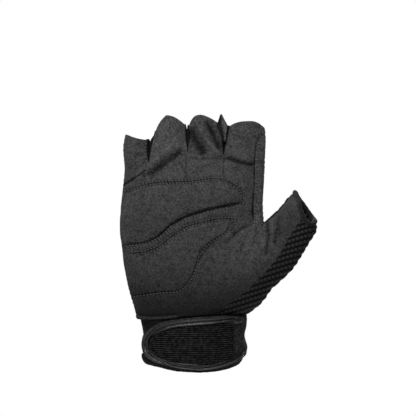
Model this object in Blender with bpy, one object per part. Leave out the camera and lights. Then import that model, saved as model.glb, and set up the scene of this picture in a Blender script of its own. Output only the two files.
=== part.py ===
"""A fingerless sport glove for the right hand, in the form that it has when worn.

The palm faces -Y, the fingers point to +Z and the thumb to +X. The origin is in the middle of
the wrist opening, where the glove sits on its wearer.

One surface runs round the whole glove, in rows from the wrist to the hems and in columns from
the little finger's side to the thumb's. Guide lines carry it. It is then parted along the seams
into panels, and each panel gets its wall.
"""

import math

import bpy
import numpy as np

# Sizes, in metres.
LENGTH = 0.1711
WIDTH = 0.0972
DEPTH = 0.0300
PANEL_WALL = 0.0013
MESH_WALL = 0.0013
GUSSET_WALL = 0.0010
GUSSET_GAP = 0.0008
GUSSET_LIFT = 0.0005
CUFF_WALL = 0.0018
SEAM_GAP = 0.0004
CUFF_CLEARANCE = 0.0005
HEM_BAND = 0.0011
TAB_WALL = 0.0013
TAB_STANDOFF = 0.0017
TAB_LAYER = 0.0009
PIPING = 0.0016
PIPING_WIDTH_TOP = 0.0042
PIPING_WIDTH_LOW = 0.0030
PAD_HEIGHT = 0.0021
PAD_EDGE = 0.0007
THUMB_ROLL = 0.0013
FOLD_WALL = 0.0009

# The tables below are drawn in millimetres on a glove of this size.
DRAWN_LENGTH = 171.1
DRAWN_WIDTH = 97.2
DRAWN_DEPTH = 30.0

# Rows of the surface, counted from the wrist seam.
WEB_ROW = 12
CROTCH_ROW = 20
HEM_ROW = 25
THUMB_HEM_ROW = 17
WEB_BLEND = 3
CROTCH_BLEND = 5

# Guide lines in the order of the columns, and the columns from each to the next.
GUIDES = ("left", "little", "ring", "middle", "seam", "web", "border", "right")
STEPS = (5, 5, 5, 4, 3, 4, 4)
FINGERS = ("little", "ring", "middle", "index")

# Each guide line: row, x, z.
LINES = {
    "left": [
        (0, -38.7, 35.8),
        (1, -39.7, 41.2),
        (3, -43.0, 52.3),
        (5, -45.8, 63.4),
        (7, -47.6, 74.6),
        (9, -48.7, 85.6),
        (12, -49.5, 100.6),
        (14, -48.8, 109.6),
        (16, -48.0, 119.7),
        (17.6, -47.3, 128.0),
        (18.6, -46.5, 133.2),
        (20, -47.0, 140.2),
        (22.5, -47.6, 150.2),
        (25, -46.2, 158.2),
    ],
    "little": [
        (0, -30.0, 36.6),
        (3, -31.5, 51.8),
        (6, -32.2, 67.6),
        (9, -32.4, 83.8),
        (12, -32.2, 99.6),
        (16, -31.4, 119.0),
        (18, -30.9, 128.4),
        (20, -30.5, 138.7),
    ],
    "ring": [
        (0, -19.0, 37.9),
        (3, -18.2, 51.8),
        (6, -16.2, 67.2),
        (9, -13.8, 83.2),
        (12, -11.2, 99.4),
        (16, -7.8, 121.5),
        (18, -6.0, 133.6),
        (20, -4.5, 146.6),
    ],
    "middle": [
        (0, -8.0, 38.9),
        (3, -4.0, 51.8),
        (6, 1.0, 66.6),
        (9, 6.5, 82.4),
        (12, 11.5, 99.2),
        (16, 16.4, 121.0),
        (18, 18.2, 132.4),
        (20, 19.3, 144.1),
    ],
    "seam": [
        (0, 0.0, 39.5),
        (3, 6.0, 51.4),
        (6, 15.0, 65.6),
        (9, 26.8, 81.8),
        (12, 38.9, 98.6),
        (14, 39.3, 108.6),
        (16, 39.7, 119.6),
        (18, 40.3, 130.4),
        (20, 40.5, 141.0),
        (22.5, 41.3, 152.0),
        (25, 44.4, 164.4),
    ],
    "web": [
        (0, 6.0, 39.8),
        (3, 13.5, 50.8),
        (6, 22.4, 64.4),
        (9, 33.8, 80.4),
        (12, 46.0, 99.8),
        (13, 45.8, 104.2),
        (15, 45.6, 114.2),
        (17, 46.4, 125.0),
        (20, 46.9, 141.0),
        (22.5, 47.7, 152.6),
        (25, 47.0, 162.2),
    ],
    "border": [
        (0, 14.7, 40.0),
        (0.8, 17.0, 42.6),
        (2.1, 22.9, 47.0),
        (3.8, 30.5, 52.9),
        (5.9, 39.7, 60.7),
        (7.2, 45.2, 66.1),
        (9.1, 52.2, 74.3),
        (10.5, 56.9, 80.7),
        (12, 60.3, 88.2),
        (13, 62.4, 91.6),
        (15, 65.6, 96.6),
        (17, 69.0, 103.4),
    ],
    "right": [
        (0, 35.2, 38.8),
        (1.1, 39.5, 41.4),
        (2.6, 44.6, 45.9),
        (3.8, 47.9, 50.0),
        (4.7, 49.9, 53.7),
        (7.1, 58.1, 61.5),
        (9.1, 64.7, 68.1),
        (11.5, 70.8, 77.4),
        (13.1, 75.2, 84.9),
        (14.3, 78.1, 89.6),
        (15.2, 80.2, 92.4),
        (16, 81.2, 95.2),
        (17, 80.6, 99.2),
    ],
    "border_back": [
        (0, 14.7, 39.6),
        (3, 27.4, 49.2),
        (6, 41.0, 60.4),
        (9, 52.6, 73.6),
        (12, 60.8, 88.6),
        (14.5, 67.4, 98.4),
        (17, 72.9, 108.8),
    ],
    "thumb_web": [
        (12, 46.0, 99.8),
        (13, 51.2, 102.8),
        (14, 55.4, 107.2),
        (15, 58.9, 110.8),
        (16, 61.6, 114.8),
        (17, 64.7, 118.9),
    ],
    "little_in": [(20, -30.5, 138.7), (22.5, -31.3, 146.4), (25, -31.5, 154.4)],
    "ring_out": [(20, -30.5, 138.7), (22.5, -28.8, 148.6), (25, -26.2, 159.8)],
    "ring_in": [(20, -4.5, 146.6), (22.5, -5.3, 155.6), (25, -6.0, 164.4)],
    "middle_out": [(20, -4.5, 146.6), (22.5, -3.9, 155.6), (25, -4.2, 164.0)],
    "middle_in": [(20, 19.3, 144.1), (22.5, 18.5, 154.4), (25, 17.4, 164.6)],
    "index_out": [(20, 19.3, 144.1), (22.5, 20.9, 153.9), (25, 23.0, 163.4)],
}

# The guide lines that bound each finger stall above the crotch.
STALLS = {
    "little": ("left", "little_in"),
    "ring": ("ring_out", "ring_in"),
    "middle": ("middle_out", "middle_in"),
    "index": ("index_out", "seam", "web"),
}

# Half of the glove's depth at each guide line: row, then left, little, ring, middle, seam, web,
# border and right.
HALF_DEPTH = {
    "front": [
        (0, 20.5, 20.5, 20.8, 21.2, 21.4, 21.5, 21.5, 21.0),
        (3, 17.5, 17.5, 17.5, 18.5, 20.5, 22.5, 25.5, 23.0),
        (6, 15.5, 15.5, 15.2, 16.0, 18.0, 21.0, 25.0, 22.0),
        (9, 14.5, 14.5, 14.0, 14.2, 15.5, 18.5, 21.5, 19.0),
        (12, 14.0, 14.0, 13.5, 13.5, 13.5, 13.5, 19.0, 17.0),
        (16, 13.5, 13.5, 14.0, 14.0, 13.5, 12.5, 15.0, 15.0),
        (20, 12.0, 12.0, 13.0, 13.0, 12.0, 11.5, 12.5, 12.5),
    ],
    "back": [
        (0, 18.0, 18.0, 18.0, 18.0, 18.0, 18.0, 18.0, 17.5),
        (3, 15.5, 16.5, 17.0, 17.0, 17.0, 16.5, 15.5, 14.5),
        (6, 14.5, 16.0, 17.0, 17.0, 16.8, 16.0, 15.0, 13.5),
        (9, 14.0, 15.5, 16.5, 16.8, 16.5, 15.5, 14.5, 13.0),
        (12, 13.5, 15.0, 16.2, 16.4, 16.0, 14.5, 14.0, 13.0),
        (16, 13.0, 14.6, 15.6, 15.6, 15.0, 13.0, 13.0, 13.0),
        (20, 12.0, 13.0, 14.0, 14.0, 13.0, 12.0, 12.0, 12.0),
    ],
}

# How square each section is: row, power of the superellipse.
SQUARENESS = [(0, 2.1), (3, 2.3), (9, 2.5), (16, 2.5), (20, 2.3), (25, 2.2)]

# The height in Y of the web's edge and of the thumb side's edge: row, web, right.
MIDDLE_Y = [
    (0, 0.0, 0.0),
    (6, 0.0, -3.0),
    (9, -1.0, -5.0),
    (12, -3.0, -7.0),
    (13, -4.5, -7.6),
    (17, -8.0, -8.5),
]
WEB_Y = [(12, -3.0), (13, -1.6), (15, -0.3), (17, 0.0), (25, 0.0)]

# Half of the depth of a finger stall: row, front, back, and where the gusset's edges lie.
STALL_DEPTH = [(15, 12.0, 12.8, 7.4), (20, 11.4, 12.0, 7.0), (22.5, 10.6, 10.8, 6.3), (25, 10.2, 10.2, 6.0)]
THUMB_DEPTH = [(9, 19.0, 15.0), (12, 15.5, 13.5), (14.5, 13.2, 12.6), (17, 12.2, 12.2)]

# How far each hem stands over the straight line between its corners: share across, rise.
HEM_RISE = {
    "little": [(0, 0.0), (0.35, -1.0), (0.75, -1.1), (1, 0.0)],
    "ring": [(0, 0.0), (0.17, 5.7), (0.44, 9.0), (0.70, 5.6), (1, 0.0)],
    "middle": [(0, 0.0), (0.12, 4.8), (0.37, 6.9), (0.80, 2.3), (1, 0.0)],
    "index": [(0, 0.0), (0.10, 1.4), (0.41, 0.9), (0.76, 0.2), (0.90, -0.4), (1, 0.0)],
}
BACK_HEM = 0.35
THUMB_HEM = [
    (0, 0.0, 0.0),
    (0.25, 1.0, 0.4),
    (0.5, 0.7, -0.6),
    (0.72, 0.2, -3.4),
    (0.88, 0.0, -3.6),
    (1, 0.0, 0.0),
]

# The cuff's outer side: z, left, right, front, back.
CUFF = [
    (2.4, -33.4, 31.0, 20.6, 18.4),
    (5.0, -34.0, 31.6, 20.8, 18.6),
    (8.5, -34.3, 31.8, 20.8, 18.6),
    (13.0, -34.4, 31.9, 20.6, 18.5),
    (17.0, -33.8, 32.1, 20.4, 18.3),
    (22.0, -33.8, 31.3, 20.4, 18.2),
    (28.0, -34.7, 32.0, 20.5, 18.3),
    (33.0, -35.8, 32.2, 20.4, 18.0),
]
CUFF_POWER = 2.15
CUFF_TUCK = 0.4
BAND_ROWS = (31.0, 25.0, 19.0, 13.3)

# The rolled hem of the cuff: z, and how far it stands outside the cuff, as a share of HEM_BAND.
CUFF_HEM = [(12.9, 0.1), (11.6, 0.95), (8.0, 1.1), (4.6, 0.8), (2.5, -0.5), (3.4, -1.6), (12.9, -1.6)]
# The cuff's lower edge hangs lowest in front: x, rise. The rise fades out between two heights.
HEM_CURVE = [
    (-34, 3.5),
    (-28, 3.0),
    (-22, 2.2),
    (-12, 0.3),
    (3, -0.5),
    (12, -0.2),
    (20, 0.6),
    (28, 2.6),
    (33, 4.0),
]
HEM_FADES = (4.0, 12.9)

# The closure tab: angle round the cuff in degrees from the little finger's side, low, high.
TAB = [
    (22.5, 18.0, 21.4),
    (25.0, 16.0, 24.0),
    (30.0, 13.7, 26.8),
    (39.0, 11.2, 29.8),
    (52.0, 8.5, 33.4),
    (72.0, 5.8, 36.0),
    (90.0, 4.7, 37.4),
    (112.0, 4.9, 38.2),
    (138.0, 7.6, 38.6),
    (160.0, 10.8, 38.0),
    (180.0, 12.6, 37.0),
    (215.0, 13.0, 36.0),
    (252.0, 13.0, 35.6),
]
TAB_SHARES = (0.0, 0.06, 0.28, 0.5, 0.72, 0.94, 1.0)
TAB_SEAM = 138.0
# Angles at which the tab's rounded end, and the woven panel's, are drawn.
TAB_TIP = (22.5, 24.0, 26.4, 30.0, 35.5, 42.5)
PANEL_TIP = (38.0, 41.0, 45.5, 51.0)
# Where the piping is pulled flat on the thumb's side, and how much of it is left there.
PIPING_FLATTENS = (145.0, 180.0)
PIPING_LEFT = 0.4

# The pads on the palm: x, low edge, high edge.
UPPER_PAD = [
    (-50.0, 85.2, 120.0),
    (-45.5, 85.3, 120.4),
    (-36.0, 85.8, 123.6),
    (-27.5, 88.1, 125.8),
    (-21.8, 92.0, 126.2),
    (-15.5, 98.2, 126.4),
    (-7.0, 103.2, 126.4),
    (3.8, 106.8, 127.4),
    (15.8, 109.9, 128.3),
    (24.8, 111.2, 126.0),
    (30.0, 112.2, 122.6),
    (33.8, 114.8, 117.4),
]
HEEL_PAD = [
    (-50.0, 51.4, 79.9),
    (-42.0, 51.4, 79.9),
    (-31.0, 52.6, 80.8),
    (-24.0, 54.0, 83.4),
    (-17.0, 54.0, 89.0),
    (-10.0, 55.0, 94.5),
    (-6.0, 57.8, 96.8),
    (-2.5, 61.5, 98.2),
    (0.6, 68.0, 99.0),
    (2.4, 74.0, 99.6),
    (5.6, 81.2, 100.2),
    (12.2, 87.6, 101.6),
    (19.3, 91.8, 102.8),
    (23.6, 95.4, 102.8),
    (27.4, 99.6, 102.0),
]

# The loose fold of gusset cloth: z, x, half of the width, front y, back y.
FOLD = [
    (159.4, 20.3, 1.15, -7.6, -2.6),
    (162.0, 20.2, 1.45, -8.6, -2.4),
    (165.4, 20.0, 1.75, -9.0, -2.4),
    (168.6, 19.5, 1.9, -8.6, -2.6),
    (171.0, 18.9, 1.6, -7.6, -3.4),
]

PAD_SHARES = (0, 0.07, 0.2, 0.4, 0.6, 0.8, 0.93, 1)

# Base colours of the cloths.
SUEDE = (0.055, 0.055, 0.056)
MESH = (0.012, 0.012, 0.013)
CLOTH = (0.016, 0.016, 0.017)
TRIM = (0.030, 0.030, 0.031)


def through(table, at):
    """The later columns of a table, read off a smooth curve through its rows at each place."""
    table = np.asarray(table, float)
    place, value = table[:, 0], table[:, 1:]
    step = np.diff(place)[:, None]
    rate = np.diff(value, axis=0) / step
    slope = np.empty_like(value)
    slope[0], slope[-1] = rate[0], rate[-1]
    slope[1:-1] = (step[1:] * rate[:-1] + step[:-1] * rate[1:]) / (step[1:] + step[:-1])
    at = np.clip(np.atleast_1d(np.asarray(at, float)), place[0], place[-1])
    k = np.clip(np.searchsorted(place, at, "right") - 1, 0, len(place) - 2)
    h = step[k]
    t = (at[:, None] - place[k][:, None]) / h
    return (
        (2 * t**3 - 3 * t**2 + 1) * value[k]
        + (t**3 - 2 * t**2 + t) * h * slope[k]
        + (3 * t**2 - 2 * t**3) * value[k + 1]
        + (t**3 - t**2) * h * slope[k + 1]
    )


def guide(name, side, row):
    if name == "border" and side == "back":
        name = "border_back"
    return through(LINES[name], row)[0]


def section(points, steps, depth, middle, power, side, ends=(0.0, 0.0)):
    """Half of one section: columns from its first guide line to its last, on a superellipse."""
    points = np.asarray(points, float)
    depth = np.asarray(depth, float)
    far = np.concatenate([[0.0], np.cumsum(np.linalg.norm(np.diff(points, axis=0), axis=1))])
    share = far / far[-1]
    first = (1 - (ends[0] / depth[0]) ** power) ** (1 / power)
    last = -((1 - (ends[1] / depth[-1]) ** power) ** (1 / power))
    angle = np.arccos(np.clip(first - share * (first - last), -1, 1))
    turn = [np.linspace(a, b, n, endpoint=False) for a, b, n in zip(angle, angle[1:], steps)]
    turn = np.concatenate(turn + [angle[-1:]])
    at = (first - np.cos(turn)) / (first - last)
    read = through(np.column_stack([share, points, depth, middle]), at)
    bulge = (1 - np.abs(np.cos(turn)) ** power) ** (1 / power)
    way = 1 if side == "back" else -1
    y = read[:, 3] + way * read[:, 2] * bulge
    return np.column_stack([read[:, 0], y, read[:, 1]]), at


def squareness(row):
    return through(SQUARENESS, row)[0, 0]


def palm_section(side, row):
    """The part of a section between the little finger's side and the web."""
    names = GUIDES[:6]
    points = [guide(name, side, row) for name in names]
    depth = through(HALF_DEPTH[side], row)[0, :6]
    middle = [0, 0, 0, 0, 0, through(WEB_Y, row)[0, 0]]
    return section(points, STEPS[:5], depth, middle, squareness(row), side)[0]


def thumb_section(side, row):
    """The part of a section between the web and the thumb's outer side."""
    web = guide("thumb_web" if row > WEB_ROW else "web", side, row)
    points = [web, guide("border", side, row), guide("right", side, row)]
    depth = [through(THUMB_DEPTH, row)[0, 1 if side == "back" else 0]] * 3
    low, high = through(MIDDLE_Y, row)[0]
    found, at = section(points, STEPS[5:], depth, [low, (low + high) / 2, high], 2.1, side)
    if side == "front" and row > WEB_ROW:
        grown = ((row - WEB_ROW) / (THUMB_HEM_ROW - WEB_ROW)) ** 2
        found[:, [0, 2]] += through(THUMB_HEM, at) * grown
    return found


def stall_section(finger, side, row):
    """The part of a section in one finger's stall."""
    names = STALLS[finger]
    if row <= CROTCH_ROW:
        k = FINGERS.index(finger)
        names = GUIDES[k : k + 2] if finger != "index" else GUIDES[3:6]
    points = [guide(name, side, row) for name in names]
    front, back, edge = through(STALL_DEPTH, row)[0]
    depth = [back if side == "back" else front] * len(names)
    ends = (0.0 if finger == "little" else edge, 0.0 if finger == "index" else edge)
    steps = STEPS[3:5] if finger == "index" else (STEPS[FINGERS.index(finger)],)
    middle = [0.0] * len(names)
    found, at = section(points, steps, depth, middle, squareness(row), side, ends)
    if row > CROTCH_ROW:
        grown = ((row - CROTCH_ROW) / (HEM_ROW - CROTCH_ROW)) ** 1.6
        rise = through(HEM_RISE[finger], at)[:, 0]
        found[:, 2] += rise * grown * (BACK_HEM if side == "back" else 1)
    return found


def palm_row(side, row):
    """A row of the palm or back: all columns up to the web row, then those up to the web."""
    if row <= WEB_ROW:
        points = [guide(name, side, row) for name in GUIDES]
        low, high = through(MIDDLE_Y, row)[0]
        middle = [0, 0, 0, 0, 0, low, (low + high) / 2, high]
        depth = through(HALF_DEPTH[side], row)[0]
        whole = section(points, STEPS, depth, middle, squareness(row), side)[0]
        near = (row - WEB_ROW + WEB_BLEND) / WEB_BLEND
        if near <= 0:
            return whole
        split = np.vstack([palm_section(side, row), thumb_section(side, row)[1:]])
        mix = 1 - math.sqrt(max(0.0, 1 - near**2))
        return whole + (split - whole) * mix
    whole = palm_section(side, row)
    near = (row - CROTCH_ROW + CROTCH_BLEND) / CROTCH_BLEND
    if near <= 0:
        return whole
    stalls = [stall_section(finger, side, row) for finger in FINGERS]
    split = np.vstack([stalls[0]] + [stall[1:] for stall in stalls[1:]])
    return whole + (split - whole) * near**3


def drawn(points):
    """Points of the tables, in metres on the glove of the sizes above."""
    scale = (WIDTH / DRAWN_WIDTH, DEPTH / DRAWN_DEPTH, LENGTH / DRAWN_LENGTH)
    return np.asarray(points, float) * scale


def palm_point(column, row):
    """A place on the outside of the palm, between rows and columns too."""
    line = drawn(palm_row("front", row))
    k = np.arange(len(line))
    return np.array([np.interp(column, k, line[:, axis]) for axis in range(3)])


COLUMNS = dict(zip(GUIDES, [0, *np.cumsum(STEPS).tolist()]))
WEB = COLUMNS["web"]
SEAM = COLUMNS["seam"]
BORDER = COLUMNS["border"]
RIGHT = COLUMNS["right"]
STALL_START = {"little": 0, "ring": COLUMNS["little"], "middle": COLUMNS["ring"], "index": COLUMNS["middle"]}
GUSSETS = ("gusset_little", "gusset_middle", "gusset_index")
GUSSET_STEPS = 3


class Surface:
    """The outside of the whole glove, as points and faces that each belong to one panel."""

    def __init__(self):
        self.index = {}
        self.points = []
        self.faces = []
        self.panels = []

    def point(self, name, where):
        if name not in self.index:
            self.index[name] = len(self.points)
            self.points.append(where)
        return self.index[name]

    def face(self, panel, corners, turned):
        self.faces.append(corners[::-1] if turned else corners)
        self.panels.append(panel)


def place_name(side, zone, row, column):
    """The name of a point of the surface, the same for both sides where front meets back."""
    if zone == "palm":
        last = RIGHT if row < WEB_ROW else WEB
        edge = column in (0, last) or (row == WEB_ROW and column == RIGHT)
    elif zone == "thumb":
        edge = column in (WEB, RIGHT)
    else:
        edge = (zone == "little" and column == 0) or (zone == "index" and column == WEB)
    return ("both" if edge else side, zone, row, column)


def front_panel(zone, row, column):
    if zone == "thumb" or (zone == "palm" and row < WEB_ROW):
        return "thumb_mesh" if column >= BORDER else "palm_panel"
    return "index_strip" if column >= SEAM else "palm_panel"


def lay_grid(surface, side, zone, rows, start, lines):
    """Joins the rows of one zone by faces."""
    for row in rows[:-1]:
        wide = min(len(lines[row]), len(lines[row + 1])) - 1
        for k in range(wide):
            column = start + k
            corners = []
            for r, c in ((row, column), (row, column + 1), (row + 1, column + 1), (row + 1, column)):
                home = zone
                if zone == "thumb" and r == WEB_ROW:
                    home = "palm"
                if zone in FINGERS and r == CROTCH_ROW:
                    home = "palm"
                corners.append(surface.point(place_name(side, home, r, c), lines[r][c - start]))
            panel = front_panel(zone, row, column) if side == "front" else "back_panel"
            surface.face(panel, corners, side == "back")


def whole_glove():
    surface = Surface()
    for side in ("front", "back"):
        lines = {row: drawn(palm_row(side, row)) for row in range(CROTCH_ROW + 1)}
        lay_grid(surface, side, "palm", range(WEB_ROW + 1), 0, lines)
        lay_grid(surface, side, "palm", range(WEB_ROW, CROTCH_ROW + 1), 0, lines)
        thumb = {WEB_ROW: lines[WEB_ROW][WEB:]}
        for row in range(WEB_ROW + 1, THUMB_HEM_ROW + 1):
            thumb[row] = drawn(thumb_section(side, row))
        lay_grid(surface, side, "thumb", range(WEB_ROW, THUMB_HEM_ROW + 1), WEB, thumb)
        for finger in FINGERS:
            start = STALL_START[finger]
            wide = (WEB if finger == "index" else start + STEPS[FINGERS.index(finger)]) - start
            stall = {CROTCH_ROW: lines[CROTCH_ROW][start : start + wide + 1]}
            for row in range(CROTCH_ROW + 1, HEM_ROW + 1):
                stall[row] = drawn(stall_section(finger, side, row))
            lay_grid(surface, side, finger, range(CROTCH_ROW, HEM_ROW + 1), start, stall)
    for k, gusset in enumerate(GUSSETS):
        column = STALL_START[FINGERS[k + 1]]
        for finger, turned in ((FINGERS[k], False), (FINGERS[k + 1], True)):
            for row in range(CROTCH_ROW, HEM_ROW):
                lay_gusset(surface, gusset, finger, row, column, turned)
    return surface


def lay_gusset(surface, gusset, finger, row, column, turned):
    """One row of a gusset's leg, from the front panel's edge to the back panel's."""
    rows = []
    for r in (row, row + 1):
        zone = "palm" if r == CROTCH_ROW else finger
        front = surface.index[place_name("front", zone, r, column)]
        back = surface.index[place_name("back", zone, r, column)]
        a, b = surface.points[front], surface.points[back]
        line = [front]
        for j in range(1, GUSSET_STEPS):
            where = a + (b - a) * j / GUSSET_STEPS
            line.append(surface.point((gusset, zone, r, j), where))
        rows.append(line + [back])
    for j in range(GUSSET_STEPS):
        corners = [rows[0][j], rows[0][j + 1], rows[1][j + 1], rows[1][j]]
        surface.face(gusset, corners, turned)


def normals_of(points, faces):
    """Each point's normal, and how much longer a wall's step is there than the wall's thickness."""
    found = np.zeros_like(points)
    flat = []
    for face in faces:
        corner = points[face]
        across = np.cross(corner[2] - corner[0], corner[3 % len(face)] - corner[1])
        across = across / max(np.linalg.norm(across), 1e-12)
        flat.append(across)
        for k, at in enumerate(face):
            one = corner[k - 1] - corner[k]
            two = corner[(k + 1) % len(face)] - corner[k]
            angle = math.acos(np.clip(one @ two / np.linalg.norm(one) / np.linalg.norm(two), -1, 1))
            found[at] += across * angle
    found /= np.linalg.norm(found, axis=1)[:, None]
    least = np.ones(len(points))
    for face, across in zip(faces, flat):
        for at in face:
            least[at] = min(least[at], found[at] @ across)
    return found, 1 / np.clip(least, 0.78, 1)


def material(name, colour, roughness):
    made = bpy.data.materials.new(name)
    made.use_nodes = True
    shader = made.node_tree.nodes["Principled BSDF"]
    shader.inputs["Base Color"].default_value = (*colour, 1)
    shader.inputs["Roughness"].default_value = roughness
    made.diffuse_color = (*colour, 1)
    return made


def add_piece(name, points, faces, colour, roughness=0.85):
    mesh = bpy.data.meshes.new(name)
    mesh.from_pydata([tuple(p) for p in points], [], [tuple(int(i) for i in f) for f in faces])
    mesh.update()
    piece = bpy.data.objects.new(name, mesh)
    bpy.context.scene.collection.objects.link(piece)
    piece.data.materials.append(material(name, colour, roughness))
    return piece


def add_walled(name, outer, inner, faces, colour, roughness=0.85, order=None):
    """A sheet with its wall: outside, inside, and the rim that joins their edges."""
    count = len(outer)
    order = range(count) if order is None else order
    made = [list(face) for face in faces]
    made += [[i + count for i in reversed(face)] for face in faces]
    edges = {}
    for face in faces:
        for a, b in zip(face, face[1:] + face[:1]):
            edges[(a, b)] = True
    for a, b in edges:
        if (b, a) in edges:
            continue
        if order[a] < order[b]:
            made += [[b, a, b + count], [a, a + count, b + count]]
        else:
            made += [[b, a, a + count], [b, a + count, b + count]]
    return add_piece(name, np.vstack([outer, inner]), made, colour, roughness)


def cut_panel(surface, points, normal, stretch, panel, wall, colour):
    """One panel of the surface, drawn back from its seams, with its wall on the inside."""
    faces = [f for f, p in zip(surface.faces, surface.panels) if p == panel]
    others = {i for f, p in zip(surface.faces, surface.panels) if p != panel for i in f}
    slits = {i for f, p in zip(surface.faces, surface.panels) if p in GUSSETS for i in f}
    used = sorted({i for face in faces for i in face})
    local = {i: k for k, i in enumerate(used)}
    edges = {(a, b) for face in faces for a, b in zip(face, face[1:] + face[:1])}
    after = {a: b for a, b in edges if (b, a) not in edges}
    before = {b: a for a, b in after.items()}
    own = {i: [] for i in used}
    beyond = {i: [] for i in used}
    for face, home in zip(surface.faces, surface.panels):
        kept = own if home == panel else beyond
        for i in face:
            if i in kept:
                kept[i].append(points[face].mean(axis=0) - points[i])
    outer = points[used].copy()
    for i in used:
        if i not in others:
            continue
        way = np.mean(own[i], axis=0) - np.mean(beyond[i], axis=0)
        way -= normal[i] * (way @ normal[i])
        if i in after and i in before:
            along = points[after[i]] - points[before[i]]
            along /= np.linalg.norm(along)
            way -= along * (way @ along)
        gap = GUSSET_GAP if i in slits else SEAM_GAP
        outer[local[i]] += way / np.linalg.norm(way) * gap / 2
    if panel in GUSSETS:
        outer[:, 2] += GUSSET_LIFT
    inner = outer - normal[used] * wall * stretch[used][:, None]
    add_walled(panel, outer, inner, [[local[i] for i in face] for face in faces], colour, 0.85, used)


def add_slab(name, outer, inner, colour, roughness=0.85):
    """A closed plate between two grids of points, each of the same rows and columns."""
    rows, columns = outer.shape[:2]
    faces = []
    for r in range(rows - 1):
        for c in range(columns - 1):
            a = r * columns + c
            faces.append([a, a + columns, a + columns + 1, a + 1])
    return add_walled(name, outer.reshape(-1, 3), inner.reshape(-1, 3), faces, colour, roughness)


def add_ringed(name, rings, closed, colour, roughness=0.85):
    """A body through rings of points: joined end to end, or capped at both ends."""
    rings = np.asarray(rings)
    count, size = rings.shape[:2]
    faces = []
    for k in range(count if closed else count - 1):
        for j in range(size):
            a, b = k * size + j, k * size + (j + 1) % size
            c, d = (b + size) % (count * size), (a + size) % (count * size)
            faces.append([a, b, c, d])
    if not closed:
        faces.append(list(range(size))[::-1])
        faces.append([(count - 1) * size + j for j in range(size)])
    return add_piece(name, rings.reshape(-1, 3), faces, colour, roughness)


def wrist_ring(row):
    """A closed ring of the surface near the wrist, front columns first, then the back's."""
    front, back = drawn(palm_row("front", row)), drawn(palm_row("back", row))
    return np.vstack([front, back[-2:0:-1]])


def cuff_ring(z):
    """The cuff's outside at one height, with the same columns as the wrist ring."""
    left, right, front, back = through(CUFF, z)[0]
    guides = np.array([guide(name, "front", 0) for name in GUIDES])[:, 0]
    share = (guides - guides[0]) / (guides[-1] - guides[0])
    points = np.column_stack([left + share * (right - left), np.full(len(share), z)])
    middle = [0.0] * len(share)
    front_half = section(points, STEPS, [front] * len(share), middle, CUFF_POWER, "front")[0]
    back_half = section(points, STEPS, [back] * len(share), middle, CUFF_POWER, "back")[0]
    return drawn(np.vstack([front_half, back_half[-2:0:-1]]))


def ring_normals(ring):
    """Level normals of a closed ring, pointing out of it."""
    along = np.roll(ring, -1, axis=0) - np.roll(ring, 1, axis=0)
    out = np.column_stack([along[:, 1], -along[:, 0], np.zeros(len(ring))])
    return out / np.linalg.norm(out, axis=1)[:, None]


def on_cuff(angle, z, lift):
    """A place outside the cuff, at an angle in degrees from the little finger's side."""
    left, right, front, back = through(CUFF, min(z, CUFF[-1][0]))[0]
    half, middle = (right - left) / 2, (right + left) / 2
    turn = math.radians(angle)
    deep = back if angle > 180 else front
    cosine, sine = math.cos(turn), math.sin(turn)
    bulge = (1 - abs(cosine) ** CUFF_POWER) ** (1 / CUFF_POWER)
    y = -deep * bulge * (1 if angle <= 180 else -1)
    flat = drawn([middle - half * cosine, y, z])
    out = np.array([-cosine / half, -sine / deep, 0.0])
    return flat + out / np.linalg.norm(out) * lift


def add_cuff():
    low, high = wrist_ring(0), wrist_ring(1)
    inset = ring_normals(low) * (PANEL_WALL * 1.45 + CUFF_CLEARANCE)
    rings = [low + (high - low) * CUFF_TUCK - inset, low - inset]
    rings += [cuff_ring(z) for z in BAND_ROWS]
    outer = np.array(rings)
    inner = np.array([ring - ring_normals(ring) * CUFF_WALL for ring in rings])
    rows, columns = outer.shape[:2]
    faces = []
    for r in range(rows - 1):
        for c in range(columns):
            d = (c + 1) % columns
            faces.append([r * columns + c, (r + 1) * columns + c, (r + 1) * columns + d, r * columns + d])
    add_walled("cuff_band", outer.reshape(-1, 3), inner.reshape(-1, 3), faces, CLOTH)


def hem_raised(ring):
    """Raises the cuff's lower edge towards both sides."""
    wide, tall = WIDTH / DRAWN_WIDTH, LENGTH / DRAWN_LENGTH
    curve = np.array(HEM_CURVE)
    rise = np.interp(ring[:, 0] / wide, curve[:, 0], curve[:, 1])
    start, end = HEM_FADES
    fade = np.clip((end - ring[:, 2] / tall) / (end - start), 0, 1)
    return ring + np.column_stack([0 * rise, 0 * rise, rise * fade * tall])


def add_cuff_binding():
    rings = []
    for z, share in CUFF_HEM:
        ring = cuff_ring(z)
        rings.append(hem_raised(ring + ring_normals(ring) * HEM_BAND * share))
    rings = np.array(rings).transpose(1, 0, 2)
    add_ringed("cuff_binding", rings, True, CLOTH)


def tab_angles():
    """Angles along the tab, closer together at its rounded end."""
    return np.array([*TAB_TIP, *np.linspace(50.0, 250.0, 20).tolist()])


def tab_edge(angle, inset_low=0.0, inset_high=0.0):
    low, high = through(TAB, angle)[0]
    return low + inset_low, high - inset_high


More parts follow.
